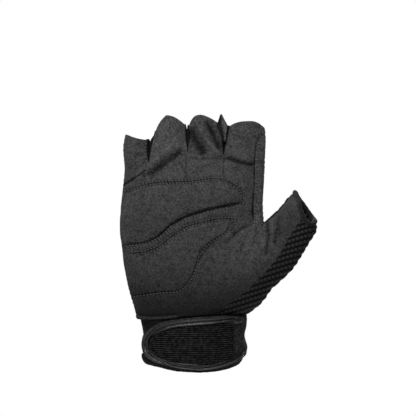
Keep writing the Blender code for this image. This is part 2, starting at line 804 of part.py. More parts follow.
def add_tab():
    """The tab's base, then the woven panel on it."""
    outer, inner = [], []
    for angle in tab_angles():
        low, high = tab_edge(angle)
        heights = [low + (high - low) * share for share in TAB_SHARES]
        inner.append([on_cuff(angle, z, TAB_STANDOFF) for z in heights])
        outer.append([on_cuff(angle, z, TAB_STANDOFF + TAB_WALL) for z in heights])
    add_slab("closure_tab", np.array(outer), np.array(inner), CLOTH)

    wide_low = PIPING_WIDTH_LOW * 1000 + 0.4
    wide_high = PIPING_WIDTH_TOP * 1000 + 0.4
    outer, inner = [], []
    for angle in [*PANEL_TIP, *np.linspace(58.0, TAB_SEAM, 10).tolist()]:
        low, high = tab_edge(angle, wide_low, wide_high)
        shut = math.sqrt(min(1.0, (angle - PANEL_TIP[0] + 2.0) / 27.0))
        centre, half = (low + high) / 2, (high - low) / 2 * shut
        low, high = centre - half, centre + half
        heights = np.linspace(low, high, 5)
        rise = TAB_WALL + SEAM_GAP * 0.8
        inner.append([on_cuff(angle, z, TAB_STANDOFF + rise) for z in heights])
        outer.append([on_cuff(angle, z, TAB_STANDOFF + rise + TAB_LAYER) for z in heights])
    add_slab("tab_panel", np.array(outer), np.array(inner), CLOTH)


def add_piping():
    """The piping along the tab's edge, from the thumb side round the rounded end and back."""
    angles = [a for a in tab_angles() if a <= 180.0]
    path = [(a, tab_edge(a)[1], PIPING_WIDTH_TOP) for a in reversed(angles)]
    path += [(a, tab_edge(a)[0], PIPING_WIDTH_LOW) for a in angles]
    reach = PIPING_WIDTH_TOP * 1.35
    flat = np.array([[math.radians(a) * 28.0, z] for a, z, _ in path])
    along = np.gradient(flat, axis=0)
    along /= np.linalg.norm(along, axis=1)[:, None]
    to_middle = np.column_stack([-along[:, 1], along[:, 0]])
    rings = []
    for (angle, z, wide), side in zip(path, to_middle):
        wide = reach if angle < TAB_TIP[3] else wide
        height = PIPING * np.interp(angle, PIPING_FLATTENS, (1.0, PIPING_LEFT))
        ring = []
        for across, up in ((0.0, 0.0), (0.04, 0.75), (0.35, 1.0), (0.75, 0.9), (1.0, 0.45), (1.0, 0.0)):
            step = (0.05 + across) * wide * 1000
            a = angle + math.degrees(side[0] * step / 28.0)
            h = z + side[1] * step
            rise = TAB_WALL + SEAM_GAP * 0.8 + height * up
            ring.append(on_cuff(a, h, TAB_STANDOFF + rise))
        rings.append(ring)
    add_ringed("tab_binding", np.array(rings)[:, ::-1], False, TRIM, 0.4)


def edge_row(column, table, which):
    """The row at which a pad's edge crosses one column of the palm."""
    lows, highs = 0.0, float(CROTCH_ROW)
    scale = (WIDTH / DRAWN_WIDTH, LENGTH / DRAWN_LENGTH)
    table = np.asarray(table)
    for _ in range(40):
        row = (lows + highs) / 2
        x, _, z = palm_point(column, row)
        edge = np.interp(x / scale[0], table[:, 0], table[:, which]) * scale[1]
        if z < edge:
            lows = row
        else:
            highs = row
    return row


def palm_normal(column, row):
    step = 0.25
    across = palm_point(column + step, row) - palm_point(max(column - step, 0.0), row)
    up = palm_point(column, row + step) - palm_point(column, row - step)
    out = np.cross(across, up)
    return out / np.linalg.norm(out)


def add_pad(name, table, columns, shares):
    """A padded panel that follows the palm, thick in the middle and thin at its edges."""
    outer, inner = [], []
    first, last = columns[0], columns[-1]
    for column in columns:
        low, high = edge_row(column, table, 1), edge_row(column, table, 2)
        line_out, line_in = [], []
        for share in shares:
            row = low + (high - low) * share
            place, normal = palm_point(column, row), palm_normal(column, row)
            edge = min(share, 1 - share) * (high - low) * 5.0
            end = min(column - first, last - column) * 4.5
            full = min(1.0, min(edge, end) / 5.0)
            height = PAD_EDGE + (PAD_HEIGHT - PAD_EDGE) * math.sin(full * math.pi / 2)
            line_in.append(place + normal * SEAM_GAP)
            line_out.append(place + normal * (SEAM_GAP + height))
        outer.append(line_out)
        inner.append(line_in)
    add_slab(name, np.array(outer), np.array(inner), SUEDE)


def add_thumb_binding(surface, points, normal):
    """A roll round the opening of the thumb's stall, just over its hem."""
    hem = [("front", c) for c in range(WEB, RIGHT)] + [("back", c) for c in range(RIGHT, WEB, -1)]
    at = [surface.index[place_name(side, "thumb", THUMB_HEM_ROW, c)] for side, c in hem]
    below = [surface.index[place_name(side, "thumb", THUMB_HEM_ROW - 1, c)] for side, c in hem]
    rings = []
    for i, j in zip(at, below):
        up = points[i] - points[j]
        up -= normal[i] * (up @ normal[i])
        up /= np.linalg.norm(up)
        middle = points[i] - normal[i] * PANEL_WALL / 2 + up * (THUMB_ROLL + SEAM_GAP)
        ring = []
        for k in range(6):
            turn = 2 * math.pi * k / 6
            ring.append(middle + (normal[i] * math.cos(turn) + up * math.sin(turn)) * THUMB_ROLL)
        rings.append(ring)
    add_ringed("thumb_binding", np.array(rings)[:, ::-1], True, SUEDE)


def add_fold():
    """The loose fold of gusset cloth: a sheet bent double, open to the back."""
    outer, inner = [], []
    for z, x, half, front, back in FOLD:
        line_out, line_in = [], []
        for turn in np.linspace(0, math.pi, 5):
            for line, less in ((line_out, 0.0), (line_in, FOLD_WALL * 1000)):
                wide = half - less
                y = front + half - wide * math.sin(turn)
                line.append((x - wide * math.cos(turn), y, z))
        line_out.insert(0, (x - half, back, z))
        line_in.insert(0, (x - half + FOLD_WALL * 1000, back, z))
        line_out.append((x + half, back, z))
        line_in.append((x + half - FOLD_WALL * 1000, back, z))
        outer.append(line_out)
        inner.append(line_in)
    outer, inner = drawn(outer), drawn(inner)
    add_slab("gusset_fold", outer[::-1], inner[::-1], MESH)


def clear_scene():
    for thing in list(bpy.data.objects):
        bpy.data.objects.remove(thing, do_unlink=True)


def main():
    clear_scene()
    surface = whole_glove()
    points = np.array(surface.points)
    normal, stretch = normals_of(points, surface.faces)
    cut_panel(surface, points, normal, stretch, "palm_panel", PANEL_WALL, SUEDE)
    cut_panel(surface, points, normal, stretch, "index_strip", PANEL_WALL, SUEDE)
    cut_panel(surface, points, normal, stretch, "thumb_mesh", MESH_WALL, MESH)
    cut_panel(surface, points, normal, stretch, "back_panel", MESH_WALL, MESH)
    for gusset in GUSSETS:
        cut_panel(surface, points, normal, stretch, gusset, GUSSET_WALL, MESH)
    add_thumb_binding(surface, points, normal)
    add_cuff()
    add_cuff_binding()
    add_tab()
    add_piping()
    columns = [0.9, 1.4, *range(2, 18)]
    add_pad("upper_pad", UPPER_PAD, columns + [17.35], PAD_SHARES)
    add_pad("heel_pad", HEEL_PAD, columns[:-1] + [16.5], PAD_SHARES)
    add_fold()


main()
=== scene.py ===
# %% [markdown]
# # Dressing a fingerless sport glove
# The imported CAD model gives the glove's true hollow form with plain faces. This lesson copies each
# panel, refines it, presses its folds, seams and ribs into the mesh, and gives it a cloth finish.
# The CAD solids themselves are never changed, because each new piece only stands in for one.

# %% Load the frame
import math
import bpy
import numpy as np
from mathutils import Vector, Matrix, noise
from mathutils.bvhtree import BVHTree
from mathutils.kdtree import KDTree


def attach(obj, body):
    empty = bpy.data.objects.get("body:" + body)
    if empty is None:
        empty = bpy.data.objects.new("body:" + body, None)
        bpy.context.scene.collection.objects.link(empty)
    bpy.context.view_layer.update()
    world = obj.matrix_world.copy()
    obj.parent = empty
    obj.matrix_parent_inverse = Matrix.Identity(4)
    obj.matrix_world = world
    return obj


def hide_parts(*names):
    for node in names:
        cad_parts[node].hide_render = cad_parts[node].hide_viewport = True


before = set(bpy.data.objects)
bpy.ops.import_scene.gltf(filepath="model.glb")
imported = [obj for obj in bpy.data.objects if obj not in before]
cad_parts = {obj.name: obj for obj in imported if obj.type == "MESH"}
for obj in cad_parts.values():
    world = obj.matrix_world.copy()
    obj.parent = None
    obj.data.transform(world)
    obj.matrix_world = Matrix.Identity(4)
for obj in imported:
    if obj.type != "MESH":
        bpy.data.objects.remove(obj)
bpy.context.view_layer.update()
MM = 0.001

# %% [markdown]
# ## Camera
# The glove is seen straight on to the palm, from about 0.8 m, so the camera looks along +Y at half
# its height. A long lens keeps the stalls upright. Tables of folds and seams below are given in
# millimetres on the plane y = 0, as this camera sees them.

# %% Set the camera
EYE = Vector((0.009, -0.8, 0.1093))
LENS = 103.8
bpy.ops.object.camera_add(location=EYE, rotation=(math.radians(90), 0, 0))
camera = bpy.context.object
camera.data.lens = LENS
camera.data.sensor_width = 36
camera.data.clip_start = 0.01
bpy.context.scene.camera = camera
bpy.context.scene.view_settings.view_transform = "Standard"
print("the frame is", round(36 / LENS * -EYE.y / MM, 1), "mm wide at the palm")

# %% [markdown]
# ## Light and floor
# Dark suede shows its folds only under a soft light that rakes over it. So the key lamp stands
# close above and in front, a weaker one fills from the left, a third lights the back, and the
# world adds a little even fill. The camera alone sees the world as white.

# %% Set the lamps
PALM_CENTRE = (0.0, 0.0, 0.1)
# name, place in metres, width in metres, power in watts
LAMPS = (
    ("key", (-0.05, -0.30, 0.42), 0.2, 1.55),
    ("fill", (-0.6, -0.8, 0.3), 0.6, 1.2),
    ("back_light", (0.3, 0.9, 0.6), 0.6, 7),
)
for name, place, width, power in LAMPS:
    bpy.ops.object.light_add(type="AREA", location=place)
    lamp = bpy.context.object
    lamp.name = name
    lamp.data.size = width
    lamp.data.energy = power
    lamp.rotation_euler = (Vector(PALM_CENTRE) - Vector(place)).to_track_quat("-Z", "Y").to_euler()
print("lamps:", [name for name, *_ in LAMPS])

# %% [markdown]
# The world has two backgrounds, and Light Path's Is Camera Ray picks one of them. The floor is a
# plain pale disc well below the glove.

# %% Set the world and the floor
WORLD_FILL = 0.13
FLOOR_RADIUS, FLOOR_HEIGHT, FLOOR_GREY = 0.45, -0.16, 0.85
world = bpy.data.worlds.new("studio")
bpy.context.scene.world = world
world.use_nodes = True
tree = world.node_tree
tree.nodes["Background"].inputs["Color"].default_value = (1, 1, 1, 1)
tree.nodes["Background"].inputs["Strength"].default_value = WORLD_FILL
seen_white = tree.nodes.new("ShaderNodeBackground")
seen_white.inputs["Color"].default_value = (1, 1, 1, 1)
ray = tree.nodes.new("ShaderNodeLightPath")
either = tree.nodes.new("ShaderNodeMixShader")
tree.links.new(ray.outputs["Is Camera Ray"], either.inputs[0])
tree.links.new(tree.nodes["Background"].outputs[0], either.inputs[1])
tree.links.new(seen_white.outputs[0], either.inputs[2])
tree.links.new(either.outputs[0], tree.nodes["World Output"].inputs["Surface"])

bpy.ops.mesh.primitive_circle_add(vertices=96, radius=FLOOR_RADIUS, fill_type="NGON",
                                  location=(0, 0, FLOOR_HEIGHT))
floor = bpy.context.object
floor.name = "floor"
floor_paint = bpy.data.materials.new("pale_floor")
floor_paint.use_nodes = True
paint = floor_paint.node_tree.nodes["Principled BSDF"]
paint.inputs["Base Color"].default_value = (FLOOR_GREY, FLOOR_GREY, FLOOR_GREY, 1)
paint.inputs["Roughness"].default_value = 0.8
floor.data.materials.append(floor_paint)
print("floor:", 2 * FLOOR_RADIUS, "m across, at z =", FLOOR_HEIGHT)

# %% [markdown]
# ## Reading and moving a mesh
# Cloth is shaped here as a sculptor would do it, by moving the refined mesh's points. These
# helpers read the points, tell where the camera sees them, and measure how far each one lies from
# a line of points drawn on that view.

# %% Read and move points
def points_of(piece, kind="co"):
    flat = np.empty(len(piece.data.vertices) * 3)
    piece.data.vertices.foreach_get(kind, flat)
    return flat.reshape(-1, 3)


def set_points(piece, points):
    piece.data.vertices.foreach_set("co", np.ascontiguousarray(points).ravel())
    piece.data.update()


def as_seen(points):
    """Where the camera sees the points on the plane y = 0, as x and z in millimetres."""
    nearer = -EYE.y / (points[:, 1] - EYE.y)
    return np.column_stack([EYE.x + (points[:, 0] - EYE.x) * nearer,
                            EYE.z + (points[:, 2] - EYE.z) * nearer]) / MM


print("the eye sees its own axis at", as_seen(np.array([[EYE.x, 0, EYE.z]]))[0].round(1), "mm")

# %% Measure from a line
def smooth_line(line):
    """Cuts the corners of a line twice, so that a short table gives a smooth seam."""
    line = np.array(line, float)
    for _ in range(2):
        before, after = line[:-1], line[1:]
        cut = np.stack([before * 0.75 + after * 0.25, before * 0.25 + after * 0.75], 1).reshape(-1, 2)
        line = np.vstack([line[:1], cut, line[-1:]])
    return line


def from_line(seen, line):
    """Distance of each seen point from the line, and its place along the line from 0 to 1."""
    best, share, walked = np.full(len(seen), 1e9), np.zeros(len(seen)), 0.0
    for start, end in zip(line[:-1], line[1:]):
        step = end - start
        length = max(np.linalg.norm(step), 1e-9)
        t = np.clip((seen - start) @ step / length ** 2, 0, 1)
        away = np.linalg.norm(seen - start - t[:, None] * step, axis=1)
        closer = away < best
        best[closer] = away[closer]
        share[closer] = (walked + t * length)[closer]
        walked += length
    return best, share / walked


def ease(value, low, high):
    """Rises smoothly from 0 at low to 1 at high."""
    t = np.clip((value - low) / (high - low), 0, 1)
    return t * t * (3 - 2 * t)


print("a line of three points becomes", len(smooth_line([(0, 0), (5, 5), (10, 0)])), "points")

# %% [markdown]
# ## Copying a panel
# Each panel of the real glove is cut from cloth of one thickness, and its CAD node already has that
# wall. The copy's loose triangles are merged and paired into quads, its cut edges are creased a
# little, and a subdivision surface gives enough points to press folds into.

# %% Copy and refine a CAD node
def pick(piece):
    bpy.ops.object.select_all(action="DESELECT")
    piece.select_set(True)
    bpy.context.view_layer.objects.active = piece


SAME_POINT = 0.00001
EDGE_CREASE = 0.45


def copy_of(node, name, levels, sharp=48):
    """A refined copy of a node. Edges sharper than so many degrees are creased."""
    piece = bpy.data.objects.new(name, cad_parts[node].data.copy())
    bpy.context.scene.collection.objects.link(piece)
    pick(piece)
    piece.data.materials.clear()
    bpy.ops.object.mode_set(mode="EDIT")
    bpy.ops.mesh.select_all(action="SELECT")
    bpy.ops.mesh.remove_doubles(threshold=SAME_POINT)
    bpy.ops.mesh.tris_convert_to_quads(face_threshold=0.7, shape_threshold=0.9)
    bpy.ops.mesh.select_all(action="DESELECT")
    bpy.ops.mesh.select_mode(type="EDGE")
    bpy.ops.mesh.edges_select_sharp(sharpness=math.radians(sharp))
    bpy.ops.transform.edge_crease(value=EDGE_CREASE)
    bpy.ops.mesh.select_mode(type="VERT")
    bpy.ops.object.mode_set(mode="OBJECT")
    refine = piece.modifiers.new("refine", "SUBSURF")
    refine.levels = refine.render_levels = levels
    bpy.ops.object.modifier_apply(modifier="refine")
    bpy.ops.object.shade_smooth_by_angle(angle=math.radians(50))
    return piece


print("cut edges are creased by", EDGE_CREASE)

# %% [markdown]
# ## Moving a wall as one
# A fold bends both faces of the cloth. So the outer face is found first, as the points whose
# normals look away from the cores, which are lines down the middle of each stall to the wrist.
# Every other point then follows its nearest outer point.

# %% Look away from the stalls' cores
STALL_CORES = (
    ((-38.8, 0, 158), (-40, 0, 100), (-30, 0, 45), (-16, 0, 0)),
    ((-16, 0, 165), (-20, 0, 100), (-12, 0, 45), (-8, 0, 0)),
    ((7, 0, 168), (0, 0, 100), (5, 0, 45), (8, 0, 0)),
    ((35, 0, 165), (28, 0, 100), (20, -2, 55), (16, 0, 0)),
    ((73, -8, 109), (62, -6, 92), (48, -4, 70), (25, 0, 45)),
)


def away_from_cores(points):
    """For each point, the direction away from the nearest core."""
    best, away = np.full(len(points), 1e9), np.zeros_like(points)
    for core in np.array(STALL_CORES, float) * MM:
        for start, end in zip(core[:-1], core[1:]):
            step = end - start
            t = np.clip((points - start) @ step / (step @ step), 0, 1)
            off = points - start - t[:, None] * step
            far = np.linalg.norm(off, axis=1)
            closer = far < best
            best[closer], away[closer] = far[closer], off[closer]
    return away / np.linalg.norm(away, axis=1)[:, None]


print(len(STALL_CORES), "cores")

# %% Find the outer face and move the wall
OUTER_FROM = 0.35


def outer_skin(piece):
    """True for each point of the outer face, and for every point the index of its outer one."""
    points, normals = points_of(piece), points_of(piece, "normal")
    outer = (normals * away_from_cores(points)).sum(1) > OUTER_FROM
    which = np.flatnonzero(outer)
    tree = KDTree(len(which))
    for place, index in enumerate(which):
        tree.insert(points[index], place)
    tree.balance()
    follows = np.arange(len(points))
    for index in np.flatnonzero(~outer):
        follows[index] = which[tree.find(points[index])[1]]
    return outer, follows


def move_wall(piece, rise, skin=None):
    """Moves the wall outwards by rise in millimetres, inner face and rims with the outer face."""
    outer, follows = skin or outer_skin(piece)
    normals = points_of(piece, "normal")
    set_points(piece, points_of(piece) + normals[follows] * (rise[follows] * MM)[:, None])


print("outer from", round(math.degrees(math.acos(OUTER_FROM))), "degrees off the way outwards")

# %% Swell the rims and add unevenness
SEAM_SWELL = 0.33


def meet_seams(piece):
    """Swells the rims a little, so that neighbouring panels touch along their seams."""
    points, normals = points_of(piece), points_of(piece, "normal")
    away = away_from_cores(points)
    faced = (normals * away).sum(1)
    sideways = normals - away * faced[:, None]
    on_rim = 1 - ease(np.abs(faced), 0.3, 0.8)
    set_points(piece, points + sideways * (on_rim * SEAM_SWELL * MM)[:, None])


def unevenness(points, size, seed=0.0):
    """Soft noise from -1 to 1 with lumps of about that size in millimetres."""
    scale = 1 / (size * MM)
    return np.array([noise.noise(Vector(p) * scale + Vector((seed, 0, 0))) for p in points])


print("the rims swell by", SEAM_SWELL, "mm")

# %% [markdown]
# ## The palm
# The palm is one cut of soft synthetic suede that runs up the fronts of four stalls and the thumb.
# Its look is in shallow forms: a diagonal fold at the little finger's base, creases at the stalls,
# a ridge on the middle stall, and the sewn channels round both pads. Each is one row of a table.

# %% Draw the sewn lines
UPPER_PAD_TOP = (
    (-47.7, 120.3), (-29.7, 126), (-15, 126.7), (-5.7, 126.7), (3.7, 127.8), (10.3, 128.9), (18.3, 128.5),
    (25, 125.9), (30.3, 122.4), (33.4, 118.6), (34.2, 115.5), (31.1, 112.4),
)
UPPER_PAD_FOOT = (
    (31.1, 112.4), (15.9, 109.9), (3.7, 106.7), (-7.2, 103), (-15.9, 97.9), (-22.3, 91.5), (-28.1, 87.5),
    (-36.8, 85.3), (-46.2, 84.6),
)
HEEL_PAD_TOP = (
    (-43, 79.3), (-38.3, 79.2), (-32.5, 79.9), (-24.5, 82.8), (-17.3, 88.6), (-10.1, 94.3), (-2.9, 98),
    (7.3, 100.1), (18.1, 102.7), (28.2, 101.6),
)
HEEL_PAD_FOOT = (
    (28.2, 101.6), (23.9, 95.1), (19.5, 91.5), (12.3, 87.1), (6.5, 82.4), (2.9, 77), (1.5, 70.5),
    (-0.7, 64), (-3.6, 58.9), (-8.6, 54.6), (-13.7, 52.8), (-21.7, 52.8), (-31.7, 51.3), (-43, 50),
)
INDEX_SEAM = (
    (44.7, 160.7), (41.3, 150), (40.5, 139.4), (40.1, 134.7), (40.6, 125.1), (39.5, 115.5), (39.3, 107.9),
    (38.9, 98.3),
)
INDEX_STITCHES = (
    (45.9, 160), (42.7, 150), (41.9, 139.4), (41.5, 134.7), (42, 125.1), (40.9, 115.5), (40.7, 107.9),
    (40.3, 99),
)
LITTLE_STITCHES = ((-32.3, 153), (-32.5, 147), (-32.2, 141))
WRIST_HEM = ((-40, 37.6), (-35, 36.2), (-30, 35.7), (-20, 36), (-10, 37.2))
# the line that a row of stitches follows, how far beside it the row runs
STITCH_ROWS = (
    (UPPER_PAD_TOP, 0.8), (UPPER_PAD_TOP, -0.8), (UPPER_PAD_FOOT, 2.1), (UPPER_PAD_FOOT[4:], 0.7),
    (HEEL_PAD_TOP, 0.8), (HEEL_PAD_TOP, -0.8), (HEEL_PAD_FOOT, 0.0),
    (INDEX_STITCHES, 0.0), (LITTLE_STITCHES, 0.0),
)
STITCH_PITCH, PIT_RADIUS, PIT_DEPTH = 2.2, 0.5, 0.4
print(len(STITCH_ROWS), "rows of stitches")

# %% Follow a sewn line
def offset_line(line, away):
    """The same line moved sideways by away in millimetres."""
    step = np.gradient(line, axis=0)
    side = np.column_stack([-step[:, 1], step[:, 0]]) / np.linalg.norm(step, axis=1)[:, None]
    return line + side * away


def marks_on(line, pitch, start=0.5):
    """Points at even spacing along a line, each with its direction."""
    steps = np.linalg.norm(np.diff(line, axis=0), axis=1)
    walked = np.concatenate([[0], np.cumsum(steps)])
    for at in np.arange(pitch * start, walked[-1], pitch):
        k = min(np.searchsorted(walked, at, side="right") - 1, len(steps) - 1)
        way = (line[k + 1] - line[k]) / steps[k]
        yield line[k] + way * (at - walked[k]), way


def pricked(seen):
    """Small pits where the thread goes through, as depth from 0 to 1."""
    pits = np.zeros(len(seen))
    for line, beside in STITCH_ROWS:
        for spot, _ in marks_on(offset_line(smooth_line(line), beside), STITCH_PITCH, 1.0):
            pits = np.maximum(pits, np.exp(-((seen - spot) ** 2).sum(1) / PIT_RADIUS ** 2))
    return pits


print("the first pit row has", len(list(marks_on(smooth_line(UPPER_PAD_TOP), STITCH_PITCH, 1.0))), "pits")

# %% [markdown]
# A form's cross-section is a bell curve, so it has a half width and a rise, which is negative for
# a fold that dives. It fades towards both ends of its line.

# %% List the palm's forms
DIAGONAL_RIDGE = ((-42, 127.5), (-36.5, 131), (-28.8, 138), (-22.1, 143.5), (-16.5, 149), (-13, 153))
THUMB_BASE_FOLD = ((47.5, 106), (48.8, 96), (48.9, 86), (47.3, 76))
THUMB_BASE_RIDGE = ((44.7, 100), (45.6, 91), (45, 80))
# what it is, half width, rise in millimetres, the line that it follows
PALM_FORMS = (
    ("sewn line over the upper pad", 1.3, -0.45, UPPER_PAD_TOP),
    ("deep crease under the upper pad", 0.7, -0.9, UPPER_PAD_FOOT[:7]),
    ("sewn line under the upper pad", 1.3, -0.4, UPPER_PAD_FOOT[5:]),
    ("sewn line over the heel pad", 1.3, -0.4, HEEL_PAD_TOP),
    ("sewn line round the heel pad", 1.1, -0.3, HEEL_PAD_FOOT),
    ("crease at the little finger's base", 0.8, -1.3,
     ((-50, 123), (-44, 126.8), (-39.9, 129.1), (-35.5, 132), (-31.5, 135.5))),
    ("diagonal valley", 2.2, -1.3,
     ((-31.5, 130.6), (-28.8, 132.5), (-23.5, 136.3), (-18.8, 140.2), (-12.1, 144.7), (-6.5, 148))),
    ("diagonal ridge", 2.3, 1.3, DIAGONAL_RIDGE),
    ("ridge on the middle stall", 1.5, 1.8,
     ((0, 170), (3.2, 163), (6.5, 156.1), (11.3, 150.4), (16, 144.7), (18, 142.5))),
    ("hollow left of the ridge", 3.0, -1.2, ((-3, 163), (-1, 157), (3, 150.5), (8, 144.5))),
    ("hollow right of the ridge", 2.0, -1.1, ((7, 168), (11.5, 160), (14.5, 153.5), (17.5, 147.5))),
    ("seam beside the index strip", 0.8, -0.7, INDEX_SEAM),
    ("turned hem at the wrist", 0.6, -0.8,
     ((-41, 39.2), (-36, 37.8), (-30, 37.2), (-20, 37.6), (-10, 38.6))),
    ("rolled edge of the hem", 0.7, 0.5, WRIST_HEM),
    ("crease under the middle stall", 0.9, -0.4, ((-5, 142.8), (4, 142), (12, 142), (19, 142.5))),
    ("crease under the index stall", 1.1, -1.1,
     ((18.5, 142.4), (22, 142.6), (26.5, 141), (32.9, 138.6), (41, 138))),
    ("swell over the index crease", 1.7, 0.5, ((22, 145), (27, 144), (33, 141.6), (40, 141))),
    ("line under the ring slit", 0.8, -0.35, ((-5.2, 146), (-5.7, 138), (-5.7, 128))),
    ("line under the middle slit", 0.8, -0.35, ((19.3, 143), (19.3, 136), (19.5, 129))),
    ("thumb seam", 0.9, -0.7, ((38.9, 98.3), (34.7, 97.3), (30.4, 94.7), (25.3, 90.7), (20, 85))),
    ("thumb base fold", 1.3, -0.7, THUMB_BASE_FOLD),
    ("ridge beside the thumb base fold", 1.3, 0.45, THUMB_BASE_RIDGE),
    ("fold under the web", 1.0, -0.4, ((42.5, 98), (40.8, 91), (37.5, 83), (33.5, 76))),
    ("second thumb base fold", 1.4, -0.5, ((56, 105), (55.3, 95), (53, 84))),
    ("long fold across the thumb's ball", 1.6, -0.3, ((36, 93), (31, 83), (28, 72))),
    ("swell between the thumb folds", 2.5, 0.5, ((53.5, 103), (54, 95), (53, 86))),
    ("upper index wrinkle", 1.0, -0.3, ((25, 158), (31, 156), (39, 156))),
    ("lower index wrinkle", 1.2, -0.15, ((26, 150), (33, 148.5), (40, 149.5))),
    ("ring wrinkle", 1.4, -0.3, ((-24, 152), (-17, 155), (-9, 161))),
    ("little wrinkle", 1.3, -0.35, ((-45, 146), (-39, 144), (-33, 145.5))),
    ("swell between the pads", 1.5, 0.45,
     ((28, 107.5), (16, 106), (4, 103.3), (-7, 99.3), (-16, 93.5), (-24, 86.6), (-33, 82.7), (-45, 82.2))),
)


def pressed(seen, forms):
    """Total rise in millimetres and, for the finish, how deep each point lies in the hollows."""
    rise, hollow = np.zeros(len(seen)), np.zeros(len(seen))
    for _, half_width, height, line in forms:
        away, share = from_line(seen, smooth_line(line))
        faded = ease(share, -0.02, 0.12) * ease(1 - share, -0.02, 0.12)
        form = np.exp(-(away / half_width) ** 2) * faded
        rise += form * height
        hollow = np.maximum(hollow, form * min(1.0, -height) if height < 0 else 0)
    return rise, hollow


print(len(PALM_FORMS), "forms on the palm")

# %% [markdown]
# Two values are kept at each point for the finishes. hollow says how deep a point lies in a sewn
# line or a pit, and the finish paints shade there. tone says how pale the cloth is painted there:
# painted light on the ridges and towards the fingers, painted shade in the hollows and towards the wrist.

# %% Set the painted light and shade
def set_values(piece, name, values):
    held = piece.data.attributes.new(name, "FLOAT", "POINT")
    held.data.foreach_set("value", values.astype(np.float32))


# x, z and radius of a patch in millimetres, and how much paler in painted light or darker in painted shade
# the suede is there
PAINTED_LIGHT_PATCHES = (
    (36, 84, 16, 0.12),
    (-17, 156, 10, 0.45),
    (2, 155, 7, -0.15),
    (62, 96, 13, -0.35),
    (-30, 92, 12, -0.12),
)
# painted shade at the wrist, and how far the painted light rises towards the fingers between two heights
# in millimetres
PAINTED_SHADE_AT_WRIST, PAINTED_LIGHT_GAIN, GAIN_FROM, GAIN_TO = 0.06, 0.94, 26, 90


def painted_light_at(seen):
    """Painted shade towards the wrist, painted light towards the fingers, and the patches of painted light
    and shade.
    """
    tone = PAINTED_SHADE_AT_WRIST + PAINTED_LIGHT_GAIN * ease(seen[:, 1], GAIN_FROM, GAIN_TO)
    for x, z, radius, change in PAINTED_LIGHT_PATCHES:
        tone += change * np.exp(-((seen - (x, z)) ** 2).sum(1) / radius ** 2)
    return tone


# half width in millimetres, how much paler in painted highlight or darker in painted shade the suede is
# there, the line that it follows
LIT_RIDGES_AND_SHADED_HOLLOWS = (
    (0.9, 0.5, WRIST_HEM),
    (1.3, 0.4, ((1, 168), (3.2, 163), (6.5, 156.1), (11.3, 150.4), (16, 144.7), (18, 142.5))),
    (2.6, -0.3, ((-4, 162), (-2.5, 157), (1.5, 150.5), (7, 144.5))),
    (1.9, -0.25, ((8, 167), (12, 160), (15.3, 153.5), (18, 147.5))),
    (2.0, 0.25, DIAGONAL_RIDGE),
    (1.6, 0.2, ((50.5, 104), (51.6, 95), (50.5, 84))),
    (1.6, 0.2, THUMB_BASE_RIDGE),
    (1.6, -0.2, THUMB_BASE_FOLD),
)
print(len(PAINTED_LIGHT_PATCHES), "patches and", len(LIT_RIDGES_AND_SHADED_HOLLOWS), "lines of painted light and shade")

# %% Press the palm
SLACK, RUMPLE = 0.28, 0.12
LEVELS = 3
palm = copy_of("palm_panel", "palm_suede", LEVELS)
palm_skin = outer_skin(palm)
palm_points = points_of(palm)
rise, hollow = pressed(as_seen(palm_points), PALM_FORMS)
rise += SLACK * unevenness(palm_points, 14) + RUMPLE * unevenness(palm_points, 5, 3.0)
pits = pricked(as_seen(palm_points))
move_wall(palm, rise - PIT_DEPTH * pits, palm_skin)
# hollow: the folds, sewn lines and pits, where the suede finish paints shade
set_values(palm, "hollow", np.maximum(hollow, pits))
# painted light and shade on the palm: paler on its ridges and towards the fingers, darker in its hollows
# and towards the wrist
palm_painted_light = painted_light_at(as_seen(palm_points))
for half_width, paler, line in LIT_RIDGES_AND_SHADED_HOLLOWS:
    away, share = from_line(as_seen(palm_points), smooth_line(line))
    faded = ease(share, -0.05, 0.15) * ease(1 - share, -0.05, 0.15)
    palm_painted_light += paler * np.exp(-(away / half_width) ** 2) * faded
set_values(palm, "tone", palm_painted_light)
meet_seams(palm)
print("palm:", len(palm.data.polygons), "faces")

# %% [markdown]
# ## The pads
# Thin foam lies behind the palm's suede and is held by the sewn lines, so a pad is a low cushion
# whose edge dives into its channel. A sheet inflated by a cloth simulation would do, but here the
# height is set from the distance to the channel, because that keeps the seams where they belong.

# %% Lay the pads on the palm
def skin_surface(piece, skin):
    """The outer faces alone, as a surface to lay other pieces on."""
    outer, _ = skin
    points = [Vector(p) for p in points_of(piece)]
    corners = [list(face.vertices) for face in piece.data.polygons]
    return BVHTree.FromPolygons(points, [c for c in corners if outer[c[0]] and outer[c[2]]])


palm_surface = skin_surface(palm, palm_skin)
EDGE_LIFT, UNDER_LIFT = 0.25, 0.08
# painted shade in each pad's channel: its strength, and its half width in millimetres
CHANNEL_SHADE, CHANNEL_SHADE_WIDTH = 0.8, 1.0


def lay_pad(node, name, edges, height):
    """Lays a pad on the palm. Each of its edges is a line with the distance in which it fills out."""
    pad = copy_of(node, name, LEVELS)
    outer, _ = outer_skin(pad)
    points = points_of(pad)
    seen = as_seen(points)
    full, nearest = np.ones(len(points)), np.full(len(points), 99.0)
    for line, fills_in in edges:
        away, _ = from_line(seen, smooth_line(line))
        full *= 1 - np.exp(-away / fills_in)
        nearest = np.minimum(nearest, away)
    lift = EDGE_LIFT + (height - EDGE_LIFT) * full + RUMPLE * unevenness(points, 6, 7.0) * full
    for index, point in enumerate(points):
        spot, normal, _, _ = palm_surface.find_nearest(Vector(point))
        turned = float(ease(-normal.y, 0.1, 0.65))
        rise = lift[index] * turned + UNDER_LIFT * (1 - turned) if outer[index] else UNDER_LIFT * turned
        points[index] = spot + normal * (rise * MM)
    pits = pricked(seen)
    points += points_of(pad, "normal") * (outer * -PIT_DEPTH * MM * pits)[:, None]
    set_points(pad, points)
    # painted shade along the channel and in the stitch pits
    set_values(pad, "hollow", np.maximum(CHANNEL_SHADE * np.exp(-(nearest / CHANNEL_SHADE_WIDTH) ** 2), pits))
    # the pads take the palm's painted light and shade
    set_values(pad, "tone", painted_light_at(seen))
    return pad


